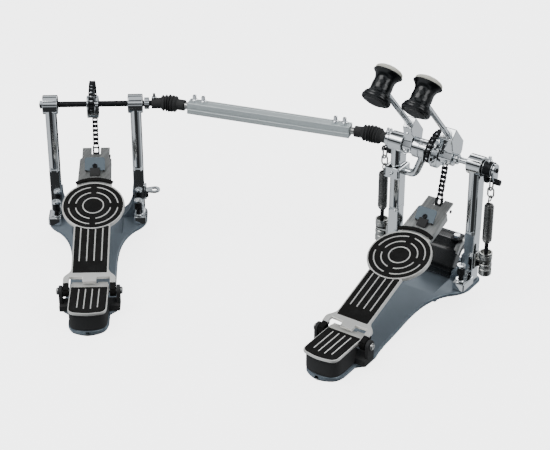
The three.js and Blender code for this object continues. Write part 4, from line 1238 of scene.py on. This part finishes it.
class PEDAL_OT_chains(bpy.types.Operator):
    """Roller chains: the part on the sprocket, the part that unrolls and the straight run"""
    bl_idname = "pedal.chains"
    bl_label = "Chains"

    def execute(self, context):
        chain = Chain()
        looks = finishes("chain_black", "blackened")
        roll_top = -chain.roll / chain.step * chain.sizes.pitch
        for name, place in PEDALS:
            parts = {"wrap": Solid(), "roll": Solid(), "run": Solid()}
            for i, (start, end) in enumerate(zip(chain.pins, chain.pins[1:])):
                middle = (start + end) / 2
                if chain.angle(end) > 178:
                    break
                key = "run" if middle > 0 else "roll" if middle > roll_top else "wrap"
                if i:
                    chain.link(parts[key], start, end, i % 2 == 1)
            piece(f"{name}_chain_on_sprocket", parts["wrap"], looks, f"{name}_drive",
                  [f"{name}_chain_wrap"], place)
            roll = piece(f"{name}_chain_unrolling", parts["roll"], looks, None,
                         [f"{name}_chain_roll"], place)
            place @ chain.at(roll_top) * MM
            place @ chain.at(0) * MM
            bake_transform(roll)
            run = parts["run"]
            foot, above = chain.at(chain.drop), chain.at(chain.drop - 12)
            way = (above - foot).normalized()
            turn = Vector((0, 0, 1)).rotation_difference(way).to_matrix().to_4x4()
            run.place = Matrix.Translation(foot) @ turn
            run.look = 2
            for side in (-1, 1):
                low, high = sided(side, 2.9, 4.7)
                run.block((low, -3.6, -3.4), (high, 3.6, 8.6), 0.5, "yz", 2.6)
            run.block((-4.6, -3.8, -3.8), (4.6, 3.8, -1.2), 0.6)
            run.look = 1
            run.bar((-4.8, 0, 6.3), (4.8, 0, 6.3), 1.2, 16)
            piece(f"{name}_chain_run", run, looks + finishes("blackened"), f"{name}_chain",
                  [f"{name}_chain_drop"], place)
        return {"FINISHED"}


# ---------------------------------------------------------------- beaters
class PEDAL_OT_beaters(bpy.types.Operator):
    """Beater hubs, rods, moulded heads and felts"""
    bl_idname = "pedal.beaters"
    bl_label = "Beaters"

    def execute(self, context):
        s = Sizes("beater")
        for name, drive in (("main", "main_drive"), ("second", "second_drive")):
            low, high = corners(f"{name}_beater_hub")
            x0, x1 = (6.6, 26.6) if name == "main" else (low.x, high.x - 1)
            x = joint_point(f"{name}_beater_turn").x
            hub = Solid(BEATER)
            profile = [(9, 24), (12, 30), (29.5, 30), (28.5, -3), (17, -12), (0, -12.5), (-9, -8), (-11, 0),
                       (-8, 9), (2, 12)]
            hub.prism(softened(profile, 1.8, 3), x0, x1, "yz", edge=1.3)
            for bottom, top in ((29.6, 31.4), (31.4, 32.4)):
                wide = 6.4 - (bottom - 29.6) * 0.5
                hub.lathe(band(s.rod_radius + 0.2, wide, bottom, top), (x, s.rod_offset, 0), soft=0.4)
            hub.key_screw((x, -9.2, 2), (0, -1, 0.25), 0, 0.8)
            hub.key_screw((x, 11.4, 21), (0, -1, 0.35), 0, 0.62)
            piece(f"{name}_beater_block", hub, finishes("chrome"), drive, [f"{name}_beater_hub"])

            rod = Solid(BEATER)
            rod.bar((x, s.rod_offset, -6), (x, s.rod_offset, s.head_at + 6), s.rod_radius, 40, 1)
            piece(f"{name}_beater_stem_rod", rod, finishes("chrome"), f"{name}_beater_stem",
                  [f"{name}_beater_rod"])

            half, rim = s.half_length, s.rim_radius
            at = BEATER @ Matrix.Translation((x, s.rod_offset, s.head_at)) @ Matrix.Rotation(-pi / 2, 4,
                                                                                             "X")
            head = Solid(at)
            head.lathe([(0, -half - 2.2), (14.2, -half - 2.2), (15.4, -half - 1.2), (19.2, -half - 1.2),
                        (rim, -half + 1), (rim - 0.2, -half + 3.4), (18.3, -half + 4.4), (18.6, -half + 6),
                        (17.6, -half + 8),
                        (15.2, -10.5), (13.7, -6), (14.2, 0), (13.6, 6), (14, 10.5), (16, half - 5),
                        (18.6, half - 2.4), (rim, half - 1.2), (rim, half - 0.2), (0, half)],
                       sides=72, soft=1.4)
            head.look = 1
            head.lathe([(0, -half - 3.6), (12.6, -half - 3.6), (13.6, -half - 2.9), (13.6, -half - 1.8),
                        (0, -half - 1.8)],
                       sides=64, soft=0.4)
            piece(f"{name}_beater_moulding", head, finishes("head_gloss", "head_face"), f"{name}_beater",
                  [f"{name}_beater_head"])

            felt = Solid(at)
            r = rim - 1.3
            dome = [(0, half + 0.1), (r - 0.4, half + 0.1), (r, half + 1), (r, half + 2.4)]
            for i in range(1, 13):
                t = i / 12 * pi / 2
                dome.append((r * cos(t) ** 0.8 if i < 12 else 0, half + 2.4 + (s.dome - 2.4) * sin(t)))
            felt.lathe(dome, sides=96, soft=0)
            cloth = piece(f"{name}_beater_felt_pad", felt, finishes("felt"), f"{name}_beater",
                          [f"{name}_beater_felt"])
            self.roughen(cloth)
        return {"FINISHED"}

    @staticmethod
    def roughen(cloth):
        """Gives pressed felt its slightly uneven surface."""
        for vertex in cloth.data.vertices:
            swell = noise.fractal(vertex.co * 420, 0.7, 2, 4)
            vertex.co += vertex.normal * 0.00022 * swell
        cloth.data.update()


# ---------------------------------------------------------------- return springs
CAM_PIN_HEIGHT = AXLE_HEIGHT - 17.8
SPRING_TOP = AXLE_HEIGHT - 51.3
SPRING_LENGTH = 60


def oval(across, along, steps=20):
    """A long loop of points in its own plane, centred on its middle."""
    straight = (along - across) / 2
    top = [Vector((across / 2 * cos(t), straight + across / 2 * sin(t))) for t in
           [pi * i / steps for i in range(steps + 1)]]
    return top + [Vector((-p.x, -p.y)) for p in top]


class PEDAL_OT_springs(bpy.types.Operator):
    """Return springs: brackets, threaded rods with knurled nuts, coils and oval links"""
    bl_idname = "pedal.springs"
    bl_label = "Return springs"

    def execute(self, context):
        s = Sizes("spring")
        hang = joint_point("right_spring_swing")
        top, bottom = SPRING_TOP, SPRING_TOP - SPRING_LENGTH
        for label, side in SIDES:
            self.bracket(f"main_{label}", MAIN, side, hang)
            x = side * hang.x
            z = hang.z
            rod = Solid()
            rod.bar((x, 0, z - 19), (x, 0, bottom + 3), 2.5, 24)
            rod.thread(x, 0, 2.5, z + 9, 1.1, int((bottom - z - 9) / 1.1), 0.38)
            rod.look = 1
            lower = [(0, z - 20.8), (8.2, z - 20.8), (9, z - 19.8), (9, z - 12), (7.6, z - 11),
                     (7.6, z - 9.4),
                     (9, z - 8.4), (9, z - 4), (7.6, z - 2.9), (0, z - 2.9)]
            rod.lathe(lower, (x, 0, 0), sides=72, soft=0.3, knurl=(z - 19.4, z - 4.2, 0.28))
            cup = [(0, z + 2.9), (8, z + 2.9), (9, z + 3.6), (9, z + 8.6), (7.9, z + 9.2), (7.9, z + 10),
                   (9, z + 10.6),
                   (9, z + 13.5), (7.4, z + 13.5), (7.2, z + 8), (0, z + 8)]
            rod.lathe(cup, (x, 0, 0), sides=72, soft=0.3, knurl=(z + 3.7, z + 8.5, 0.28))
            piece(f"main_{label}_threaded_rod", rod, finishes("blackened", "turned_steel"),
                  f"{label}_spring",
                  [f"main_{label}_spring_rod"])

            coil = Solid()
            middle = s.outer - s.wire
            steps = 26
            path = []
            for i in range(s.coils * steps + 1):
                share = i / (s.coils * steps)
                t = 2 * pi * i / steps
                narrow = min(1, 0.55 + share * 6) * min(1, 0.62 + (1 - share) * 7)
                path.append((x + middle * narrow * cos(t), middle * narrow * sin(t), bottom + 0.6
                             + share * (top - bottom - 1.2)))
            coil.wire(path, s.wire, 9)
            spring = piece(f"main_{label}_coil", coil, finishes("spring_steel"), None,
                           [f"main_{label}_spring"])
            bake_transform(spring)

            link = Solid()
            pin_z = CAM_PIN_HEIGHT
            upper = [Vector((x, 2 + p.x, pin_z - 4.7 + p.y)) for p in oval(9.4, 19)]
            link.wire(upper, 1.15, 10, closed=True)
            lower_z = pin_z - 4.7 - 9.5 + 2.4
            lower = [Vector((x + p.x, 1.6, lower_z - 5.6 + p.y)) for p in oval(8.6, 14.6)]
            link.wire(lower, 1.15, 10, closed=True)
            eye_z = lower_z - 5.6 - 7.3 + 2.3
            hook = [Vector((x, 1 + 3.9 * cos(t), eye_z - 3.9 + 3.9 * sin(t))) for t in
                    [radians(-100 + 290 * i / 20) for i in range(21)]]
            hook += [Vector((x - side * 1.5, -1.2, top + 0.8)), Vector((x - side * 3.6, -0.4, top - 0.6))]
            link.wire(hook, s.wire, 9)
            piece(f"main_{label}_oval_links", link, finishes("turned_steel"), f"{label}_spring_link",
                  [f"main_{label}_spring_link"])
        self.bracket("slave", SLAVE, 1, hang)
        return {"FINISHED"}

    @staticmethod
    def bracket(name, place, side, hang):
        """The strap on a post's slot that takes the end of the spring's rod."""
        z, root, end = hang.z, 67.8, hang.x
        strap = Solid()

        x0, x1 = sided(side, root, root + 3)
        strap.block((x0, -8, z - 12), (x1, 4, z + 10), 0.7, "yz", 2.4)
        reach = Outline(side * (root + 1), -6).line((side * end, -8.5))
        turns = (-90, 90) if side > 0 else (270, 90)
        reach.arc((side * end, 0), 8.5, *turns, 20).line((side * (root + 1), 5))
        strap.prism(reach.points, z - 1.5, z + 1.5, edge=0.5, holes=[circle(4.3, (side * end, 0), 28)])
        strap.look = 1
        strap.bar((side * 58, -4, z - 6), (side * (root + 1), -4, z - 6), 2, 20)
        x0, x1 = sided(side, 51.6, 54.6)
        strap.block((x0, -8.4, z - 11), (x1, 0.4, z - 1), 0.6, "yz", 1.4)
        strap.lathe([(0, 0), (4.4, 0), (4.4, 2.2), (3.6, 2.9), (0, 2.9)], (side * (root + 2.6), -2, z - 7),
                    (side, 0, 0), 6, soft=0)
        looks = finishes("chrome" if name == "slave" else "turned_steel", "blackened")
        node = "slave_spring_anchor" if name == "slave" else f"{name}_spring_anchor"
        body = "slave_frame" if name == "slave" else "main_frame"
        piece(f"{name}_anchor_strap", strap, looks, body, [node], place)


class PEDAL_OT_cams(bpy.types.Operator):
    """Spring cams with their pins and knurled knobs"""
    bl_idname = "pedal.cams"
    bl_label = "Spring cams"

    def execute(self, context):
        z, pin_z = AXLE_HEIGHT, CAM_PIN_HEIGHT
        for label, side, outer, knob_end, knob_long in (("left", -1, 77.7, 85.9, 2.3),
                                                        ("right", 1, 85, 95, 8.3)):
            cam = Solid()
            low, high = sided(side, 71.7, outer)
            cam.look = 0 if label == "left" else 1
            cam.lathe([(4.5, low), (9.6, low), (10, low + 0.8), (10, high - 0.8), (9.6, high), (4.5, high),
                       (4.5, low)],
                      *ON_AXLE, 56, soft=0.5)
            cam.look = 0
            for end in (low + 0.1, high - 1.1) if label == "right" else ():
                cam.lathe([(4.6, end), (9.9, end), (10.25, end + 0.5), (9.9, end + 1), (4.6, end + 1),
                           (4.6, end)],
                          *ON_AXLE, 56, soft=0.3)
            cam.look = 1
            lug = Outline(-6.4, z - 5).line((6.4, z - 5), (7.6, z - 20)).curve((6, z - 25), (-1, z - 24),
                                                                               (-2.6, z - 19), steps=8)
            cam.prism(softened(lug.points, 0.8, 2), *sided(side, 72.2, 77.2), "yz", edge=0.8)
            cam.bar((side * 73, 2, pin_z), (side * (knob_end - 1), 2, pin_z), 2.35, 28)
            ends = sided(side, knob_end - knob_long, knob_end)
            cam.lathe([(0, ends[0]), (3.9, ends[0]), (4.1, ends[0] + 0.4), (4.1, ends[1] - 0.4),
                       (3.7, ends[1]), (0, ends[1])],
                      (0, 2, pin_z), (1, 0, 0), 48, soft=0.2, knurl=(ends[0] + 0.3, ends[1] - 0.3, 0.24))
            if label == "left":
                for x in (-77, -72.3):
                    cam.key_screw((x, 0, z + 9.4), (0, 0, 1), 0, 0.8)
            else:
                cam.key_screw((78.4, 0, z + 9.6), (0, 0, 1), 0, 1.0)
            piece(f"main_{label}_cam_block", cam, finishes("chrome", "blackened"),
                  "main_drive" if label == "right" else "second_drive", [f"main_{label}_cam"])
        return {"FINISHED"}


# ---------------------------------------------------------------- bearing arm and hoop clamp
class PEDAL_OT_centre_support(bpy.types.Operator):
    """The second bearing between the beaters, with its elbow arm and post collar"""
    bl_idname = "pedal.centre_support"
    bl_label = "Centre bearing"

    def execute(self, context):
        s = Sizes("frame")
        x0, x1, r = -33.6, -7.6, s.housing_radius
        middle, low = (x0 + x1) / 2, AXLE_HEIGHT - 41
        arm = Solid()
        shell = [(4.9, x0), (r, x0), (r, x0 + 10), (r - 0.6, x0 + 10.4), (r - 0.6, x0 + 12), (r, x0 + 12.4),
                 (r, x1), (4.9, x1), (4.9, x0)]
        arm.lathe(shell, *ON_AXLE, 64, soft=0.8)
        elbow = Vector((middle - 12, 0, low))
        path = [Vector((middle, 0, AXLE_HEIGHT - 9))]
        rise, run = path[0] - elbow, Vector((-51, 0, low)) - elbow
        corner_in, corner_out = elbow + rise * 0.3, elbow + run * 0.35
        path += [corner_in.lerp(elbow, t).lerp(elbow.lerp(corner_out, t), t)
                 for t in [i / 8 for i in range(9)]]
        arm.wire(path + [Vector((-51, 0, low))], 5.4, 32)
        arm.block((-72, -17, low - 8), (-48, -13.2, low + 8), 1.2, "xz", 2.5)
        for near, far in ((-72, -67.9), (-52.1, -48)):
            arm.block((near, -17, low - 8), (far, 12.4, low + 8), 1.2, "yz", 2.5)
        arm.block((-72, 9.5, low - 8), (-48, 13, low + 8), 1.2, "xz", 2.5)
        arm.key_screw((-60, -16.6, low), (0, -1, 0), 0, 0.6)
        piece("main_centre_arm", arm, finishes("chrome"), "main_frame", ["main_centre_support"])
        return {"FINISHED"}


class PEDAL_OT_hoop_clamp(bpy.types.Operator):
    """The rocking jaw that grips the drum's hoop, and its screw"""
    bl_idname = "pedal.hoop_clamp"
    bl_label = "Hoop clamp"

    def execute(self, context):
        jaw = Solid()
        profile = [(9, 10), (20, 10), (41, 38.6), (72, 37.4), (73, 42), (67, 49), (54, 53.2), (37, 54),
                   (24, 45), (11, 25), (8, 18)]
        jaw.prism(softened(profile, 3, 4), -22, 26, "yz", edge=2.6)
        jaw.bar((-27, 15, 16), (31, 15, 16), 2.95, 24)
        jaw.look = 1
        # a thin bright steel strip along the jaw's curved edge: a painted highlight where that edge catches
        # the light
        highlight_crescent = arc_points((44, 30), 24.6, 62, 150, 16) + arc_points((46, 27), 23.4, 150, 62, 16)
        jaw.prism(highlight_crescent, 20, 27.2, "yz", edge=0.6)
        jaw.look = 2
        jaw.prism(plaque((-21, 52), (25, 71), 1.5, 2), 36.9, 39.2, edge=0.8)
        piece("main_clamp_lever", jaw, finishes("head_gloss", "brushed_steel", "rubber"), "clamp_jaw",
              ["main_clamp_jaw"])
        x, y, _ = joint_point("clamp_screw_turn")
        screw = Solid()
        screw.bar((x, y, 7.4), (x, y, 62), 2.9, 28)
        screw.thread(x, y, 2.95, 9, 1.25, 36, 0.34)
        screw.look = 1
        screw.lathe([(0, 55.2), (8.4, 55.2), (8.4, 57.4), (0, 57.4)], (x, y, 0), sides=56, soft=0.5)
        screw.look = 0
        screw.lathe([(0, 57.4), (4.9, 57.4), (4.9, 61.4), (4.2, 62.2), (2.2, 62.2), (2, 60.8), (0, 60.8)],
                    (x, y, 0),
                    sides=48, soft=0.4, knurl=(58, 61.3, 0.3))
        piece("main_clamp_bolt", screw, finishes("chrome", "blackened"), "clamp_screw",
              ["main_clamp_screw"])
        return {"FINISHED"}


# ---------------------------------------------------------------- drive shaft
TUBE_INSET = 31.42


class PEDAL_OT_drive_shaft(bpy.types.Operator):
    """The telescopic drive shaft: square tube, sliding rods with joint crosses, and rubber boots"""
    bl_idname = "pedal.drive_shaft"
    bl_label = "Drive shaft"

    def execute(self, context):
        s = Sizes("shaft")
        far = (MAIN_JOINT - SLAVE_JOINT).length
        ends = (TUBE_INSET, far - TUBE_INSET)
        h = s.tube_side / 2
        side = [(-h, -h), (h, -h), (h, -1.6), (h - 0.45, -1.2), (h - 0.45, 1.2), (h, 1.6), (h, h)]
        loop = softened(side + [(3, h), (2.6, h - 0.4), (-2.6, h - 0.4), (-3, h), (-h, h), (-h, 1.6),
                                (-h + 0.45, 1.2),
                                (-h + 0.45, -1.2), (-h, -1.6)], 1.1, 3)
        tube = Solid(SHAFT)
        tube.prism(loop, *ends, "yz", edge=0.7, holes=[circle(s.rod_radius + 0.3, steps=36)])
        for back in (9, 22):
            for x in (ends[0] + back, ends[1] - back):
                tube.key_screw((x, 0, h - 0.2), (0, 0, 1), 1, 1.2)
        piece("drive_tube_extrusion", tube, finishes("anodised_tube", "chrome"), "shaft", ["drive_tube"])

        for name, body, place in (("main", "shaft", SHAFT @ Matrix.Translation((far, 0, 0))),
                                  ("slave", "slave_rod", SHAFT @ Matrix.Rotation(pi, 4, "Z"))):
            rod = Solid(place)
            rod.bar((-93.4, 0, 0), (-9.4, 0, 0), s.rod_radius, 36, 0.8)
            rod.fork(upright=True)
            rod.bar((0, 0, -6.6), (0, 0, 6.6), 1.7, 16)
            rod.bar((0, -6.6, 0), (0, 6.6, 0), 1.7, 16)
            rod.bar((-3.4, 0, 0), (3.4, 0, 0), 3.6, 20)
            piece(f"{name}_sliding_rod", rod, finishes("turned_steel"), body, [f"{name}_joint_rod"])

        self.boot("main", MAIN_JOINT, Vector((1, 0, 0)), -SHAFT_ALONG, "main_frame", "main_boot")
        self.boot("slave", SLAVE_JOINT, -SLAVE_ALONG, SHAFT_ALONG, "slave_frame", "slave_boot")
        return {"FINISHED"}

    @staticmethod
    def boot(name, joint, to_axle, to_shaft, frame_body, boot_body):
        """A bellows bent over its joint, from the axle's cuff to the shaft's."""
        s = Sizes("shaft")
        profile = [(4.6, -23.4), (s.cuff_radius - 0.6, -23.4), (s.cuff_radius, -22.8),
                   (s.cuff_radius, -15.6)]
        if name == "slave":
            profile += [(s.cuff_radius, -10.6)]
        ribs, pitch, valley = (6 if name == "main" else 5), 4.5, 9.5
        first = 13.5 - ribs * pitch
        for i in range(ribs):
            peak = s.boot_radius - abs(i - ribs / 2 + 0.5) * 0.5
            for k in range(8):
                wave = (0.5 - 0.5 * cos(2 * pi * k / 8)) ** 0.75
                profile.append((valley + (peak - valley) * wave, first + (i + k / 8) * pitch))
        profile += [(valley - 0.4, 13.6), (s.cuff_radius - 0.2, 14.6), (s.cuff_radius, 15.4),
                    (s.cuff_radius, 25),
                    (s.cuff_radius - 0.6, 25.6), (5.4, 25.6), (5.4, 15.4), (8.7, 13), (8.9, 0), (8.7, -8.6),
                    (4.6, -10.2)]
        up = Vector((0, 0, 1))
        rings = []
        for r, h in profile:
            share = min(1, max(0, (h + 7) / 14))
            share = share * share * (3 - 2 * share)
            way = (-to_axle).lerp(to_shaft, share).normalized()
            sag = 0.5 * max(0, 1 - abs(h) / 7) ** 2
            centre = joint + (to_shaft * h if h > 0 else to_axle * -h) + (to_axle
                                                                          + to_shaft).normalized() * sag
            across = way.cross(up).normalized()
            rings.append([centre + r * (cos(t) * across + sin(t) * up)
                          for t in [2 * pi * k / 56 for k in range(56)]])
        shell = Solid()
        shell.loft(rings, looped=True)
        rubber = piece(f"{name}_boot_bellows", shell, finishes("rubber"), None, [f"{name}_joint_boot"])
        if name == "main":
            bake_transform(rubber)
        else:
            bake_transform(rubber)


# ---------------------------------------------------------------- stage
def ramp_into(node, stops):
    """Fills a colour ramp with (place, grey) stops, its dark tones slightly blue."""
    while len(node.color_ramp.elements) < len(stops):
        node.color_ramp.elements.new(1)
    for element, (where, grey) in zip(node.color_ramp.elements, stops):
        element.position, element.color = where, (grey * 0.94, grey * 0.99, grey * 1.04, 1)


class PEDAL_OT_stage(bpy.types.Operator):
    """Pale floor, soft studio light and the camera"""
    bl_idname = "pedal.stage"
    bl_label = "Stage"

    def execute(self, context):
        scene = context.scene
        floor = bpy.data.meshes.new("floor")
        reach = 30
        floor.from_pydata([(-reach, -reach, 0), (reach, -reach, 0), (reach, reach, 0), (-reach, reach, 0)],
                          [], [(0, 1, 2, 3)])
        paper = Finish("pale_floor", specular_ior_level=0.1, roughness=0.9, emission_color=(1, 1, 1),
                       emission_strength=3.6)
        cloud = paper.noise(3, 2)
        paper.set("Base Color", paper.mix(cloud, (0.90, 0.90, 0.90), (0.92, 0.92, 0.915)))
        floor.materials.append(paper.material)
        ground = bpy.data.objects.new("floor", floor)
        scene.collection.objects.link(ground)
        ground.location.z = -0.0004
        ground.visible_glossy = ground.visible_diffuse = False
        self.studio(scene)

        def softbox(name, place, aim, size, power):
            lamp = bpy.data.lights.new(name, "AREA")
            lamp.shape, lamp.size, lamp.size_y, lamp.energy = "RECTANGLE", *size, power
            thing = bpy.data.objects.new(name, lamp)
            thing.location = place
            thing.rotation_euler = (Vector(aim) - Vector(place)).to_track_quat("-Z", "Y").to_euler()
            scene.collection.objects.link(thing)

        softbox("key_light", (-1.0, -1.2, 2.2), (-0.2, -0.05, 0.1), (1.6, 1.2), 26)
        softbox("fill_light", (1.9, -0.3, 1.5), (-0.1, -0.05, 0.1), (0.9, 1.4), 12)
        softbox("back_light", (-0.3, 2.0, 1.6), (-0.2, 0, 0.1), (1.8, 0.8), 14)

        lens = bpy.data.cameras.new("camera")
        lens.lens, lens.sensor_width = 112.3, 36
        camera = bpy.data.objects.new("camera", lens)
        camera.location = (0.9731, -1.8054, 1.2540)
        camera.rotation_euler = [radians(a) for a in (60.3, 0, 34.4)]
        scene.collection.objects.link(camera)
        scene.camera = camera
        return {"FINISHED"}

    @staticmethod
    def studio(scene):
        """The surroundings: a soft roof light, and tall soft panels with dark gaps between them."""
        world = bpy.data.worlds.new("studio")
        world.use_nodes = True
        scene.world = world
        tree = world.node_tree

        def node(kind, **settings):
            made = tree.nodes.new(kind)
            for key, value in settings.items():
                setattr(made, key, value)
            return made

        coord, split = node("ShaderNodeTexCoord"), node("ShaderNodeSeparateXYZ")
        turn, roof, panels = node("ShaderNodeTexGradient", gradient_type="RADIAL"), *[
            node("ShaderNodeValToRGB") for _ in range(2)]
        height, blend = node("ShaderNodeMapRange"), node("ShaderNodeMix", data_type="RGBA")
        ramp_into(roof, ((0, 0.55), (0.12, 0.5), (0.20, 0.03), (0.40, 0.03), (0.50, 1.1), (0.72, 1.1),
                         (0.78, 0.05),
                         (0.88, 0.05), (0.93, 1)))
        ramp_into(panels, ((0, 0.8), (0.20, 1.0), (0.255, 0.9), (0.285, 0.05), (0.44, 0.03), (0.50, 0.25),
                           (0.58, 0.3),
                           (0.62, 1.0), (0.70, 1.0), (0.75, 0.05), (0.92, 0.05), (0.97, 0.7)))
        height.inputs["From Min"].default_value, height.inputs["From Max"].default_value = -0.14, -0.04
        link = tree.links.new
        link(coord.outputs["Generated"], split.inputs[0])
        link(coord.outputs["Generated"], turn.inputs[0])
        link(turn.outputs["Fac"], panels.inputs["Fac"])
        link(split.outputs["Z"], roof.inputs["Fac"])
        link(split.outputs["Z"], height.inputs["Value"])
        link(height.outputs[0], blend.inputs[0])
        link(panels.outputs["Color"], blend.inputs[6])
        link(roof.outputs["Color"], blend.inputs[7])
        link(blend.outputs[2], tree.nodes["Background"].inputs["Color"])
        tree.nodes["Background"].inputs["Strength"].default_value = 0.75


OPERATORS = (PEDAL_OT_stage, PEDAL_OT_bases, PEDAL_OT_posts, PEDAL_OT_spurs, PEDAL_OT_heels,
             PEDAL_OT_footboards, PEDAL_OT_toes, PEDAL_OT_axles, PEDAL_OT_sprockets, PEDAL_OT_chains,
             PEDAL_OT_beaters, PEDAL_OT_springs, PEDAL_OT_cams, PEDAL_OT_centre_support,
             PEDAL_OT_hoop_clamp, PEDAL_OT_drive_shaft)


class PEDAL_PT_panel(bpy.types.Panel):
    """Lists the pedal's pieces and their sizes"""
    bl_idname = "PEDAL_PT_panel"
    bl_label = "Double pedal"
    bl_space_type = "VIEW_3D"
    bl_region_type = "UI"
    bl_category = "Pedal"

    def draw(self, context):
        for operator in OPERATORS:
            self.layout.operator(operator.bl_idname)
        settings = context.scene.pedal
        for name, group in GROUPS.items():
            box = self.layout.box()
            box.label(text=group.__doc__)
            for key in group.__annotations__:
                box.prop(getattr(settings, name), key)


CLASSES = (*GROUPS.values(), PedalSettings, *OPERATORS, PEDAL_PT_panel)


def register():
    for cls in CLASSES:
        bpy.utils.register_class(cls)
    bpy.types.Scene.pedal = PointerProperty(type=PedalSettings)


def unregister():
    del bpy.types.Scene.pedal
    for cls in reversed(CLASSES):
        bpy.utils.unregister_class(cls)


def main():
    register()
    for operator in OPERATORS:
        getattr(bpy.ops.pedal, operator.bl_idname.split(".")[1])()
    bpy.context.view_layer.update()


if __name__ == "__main__":
    main()
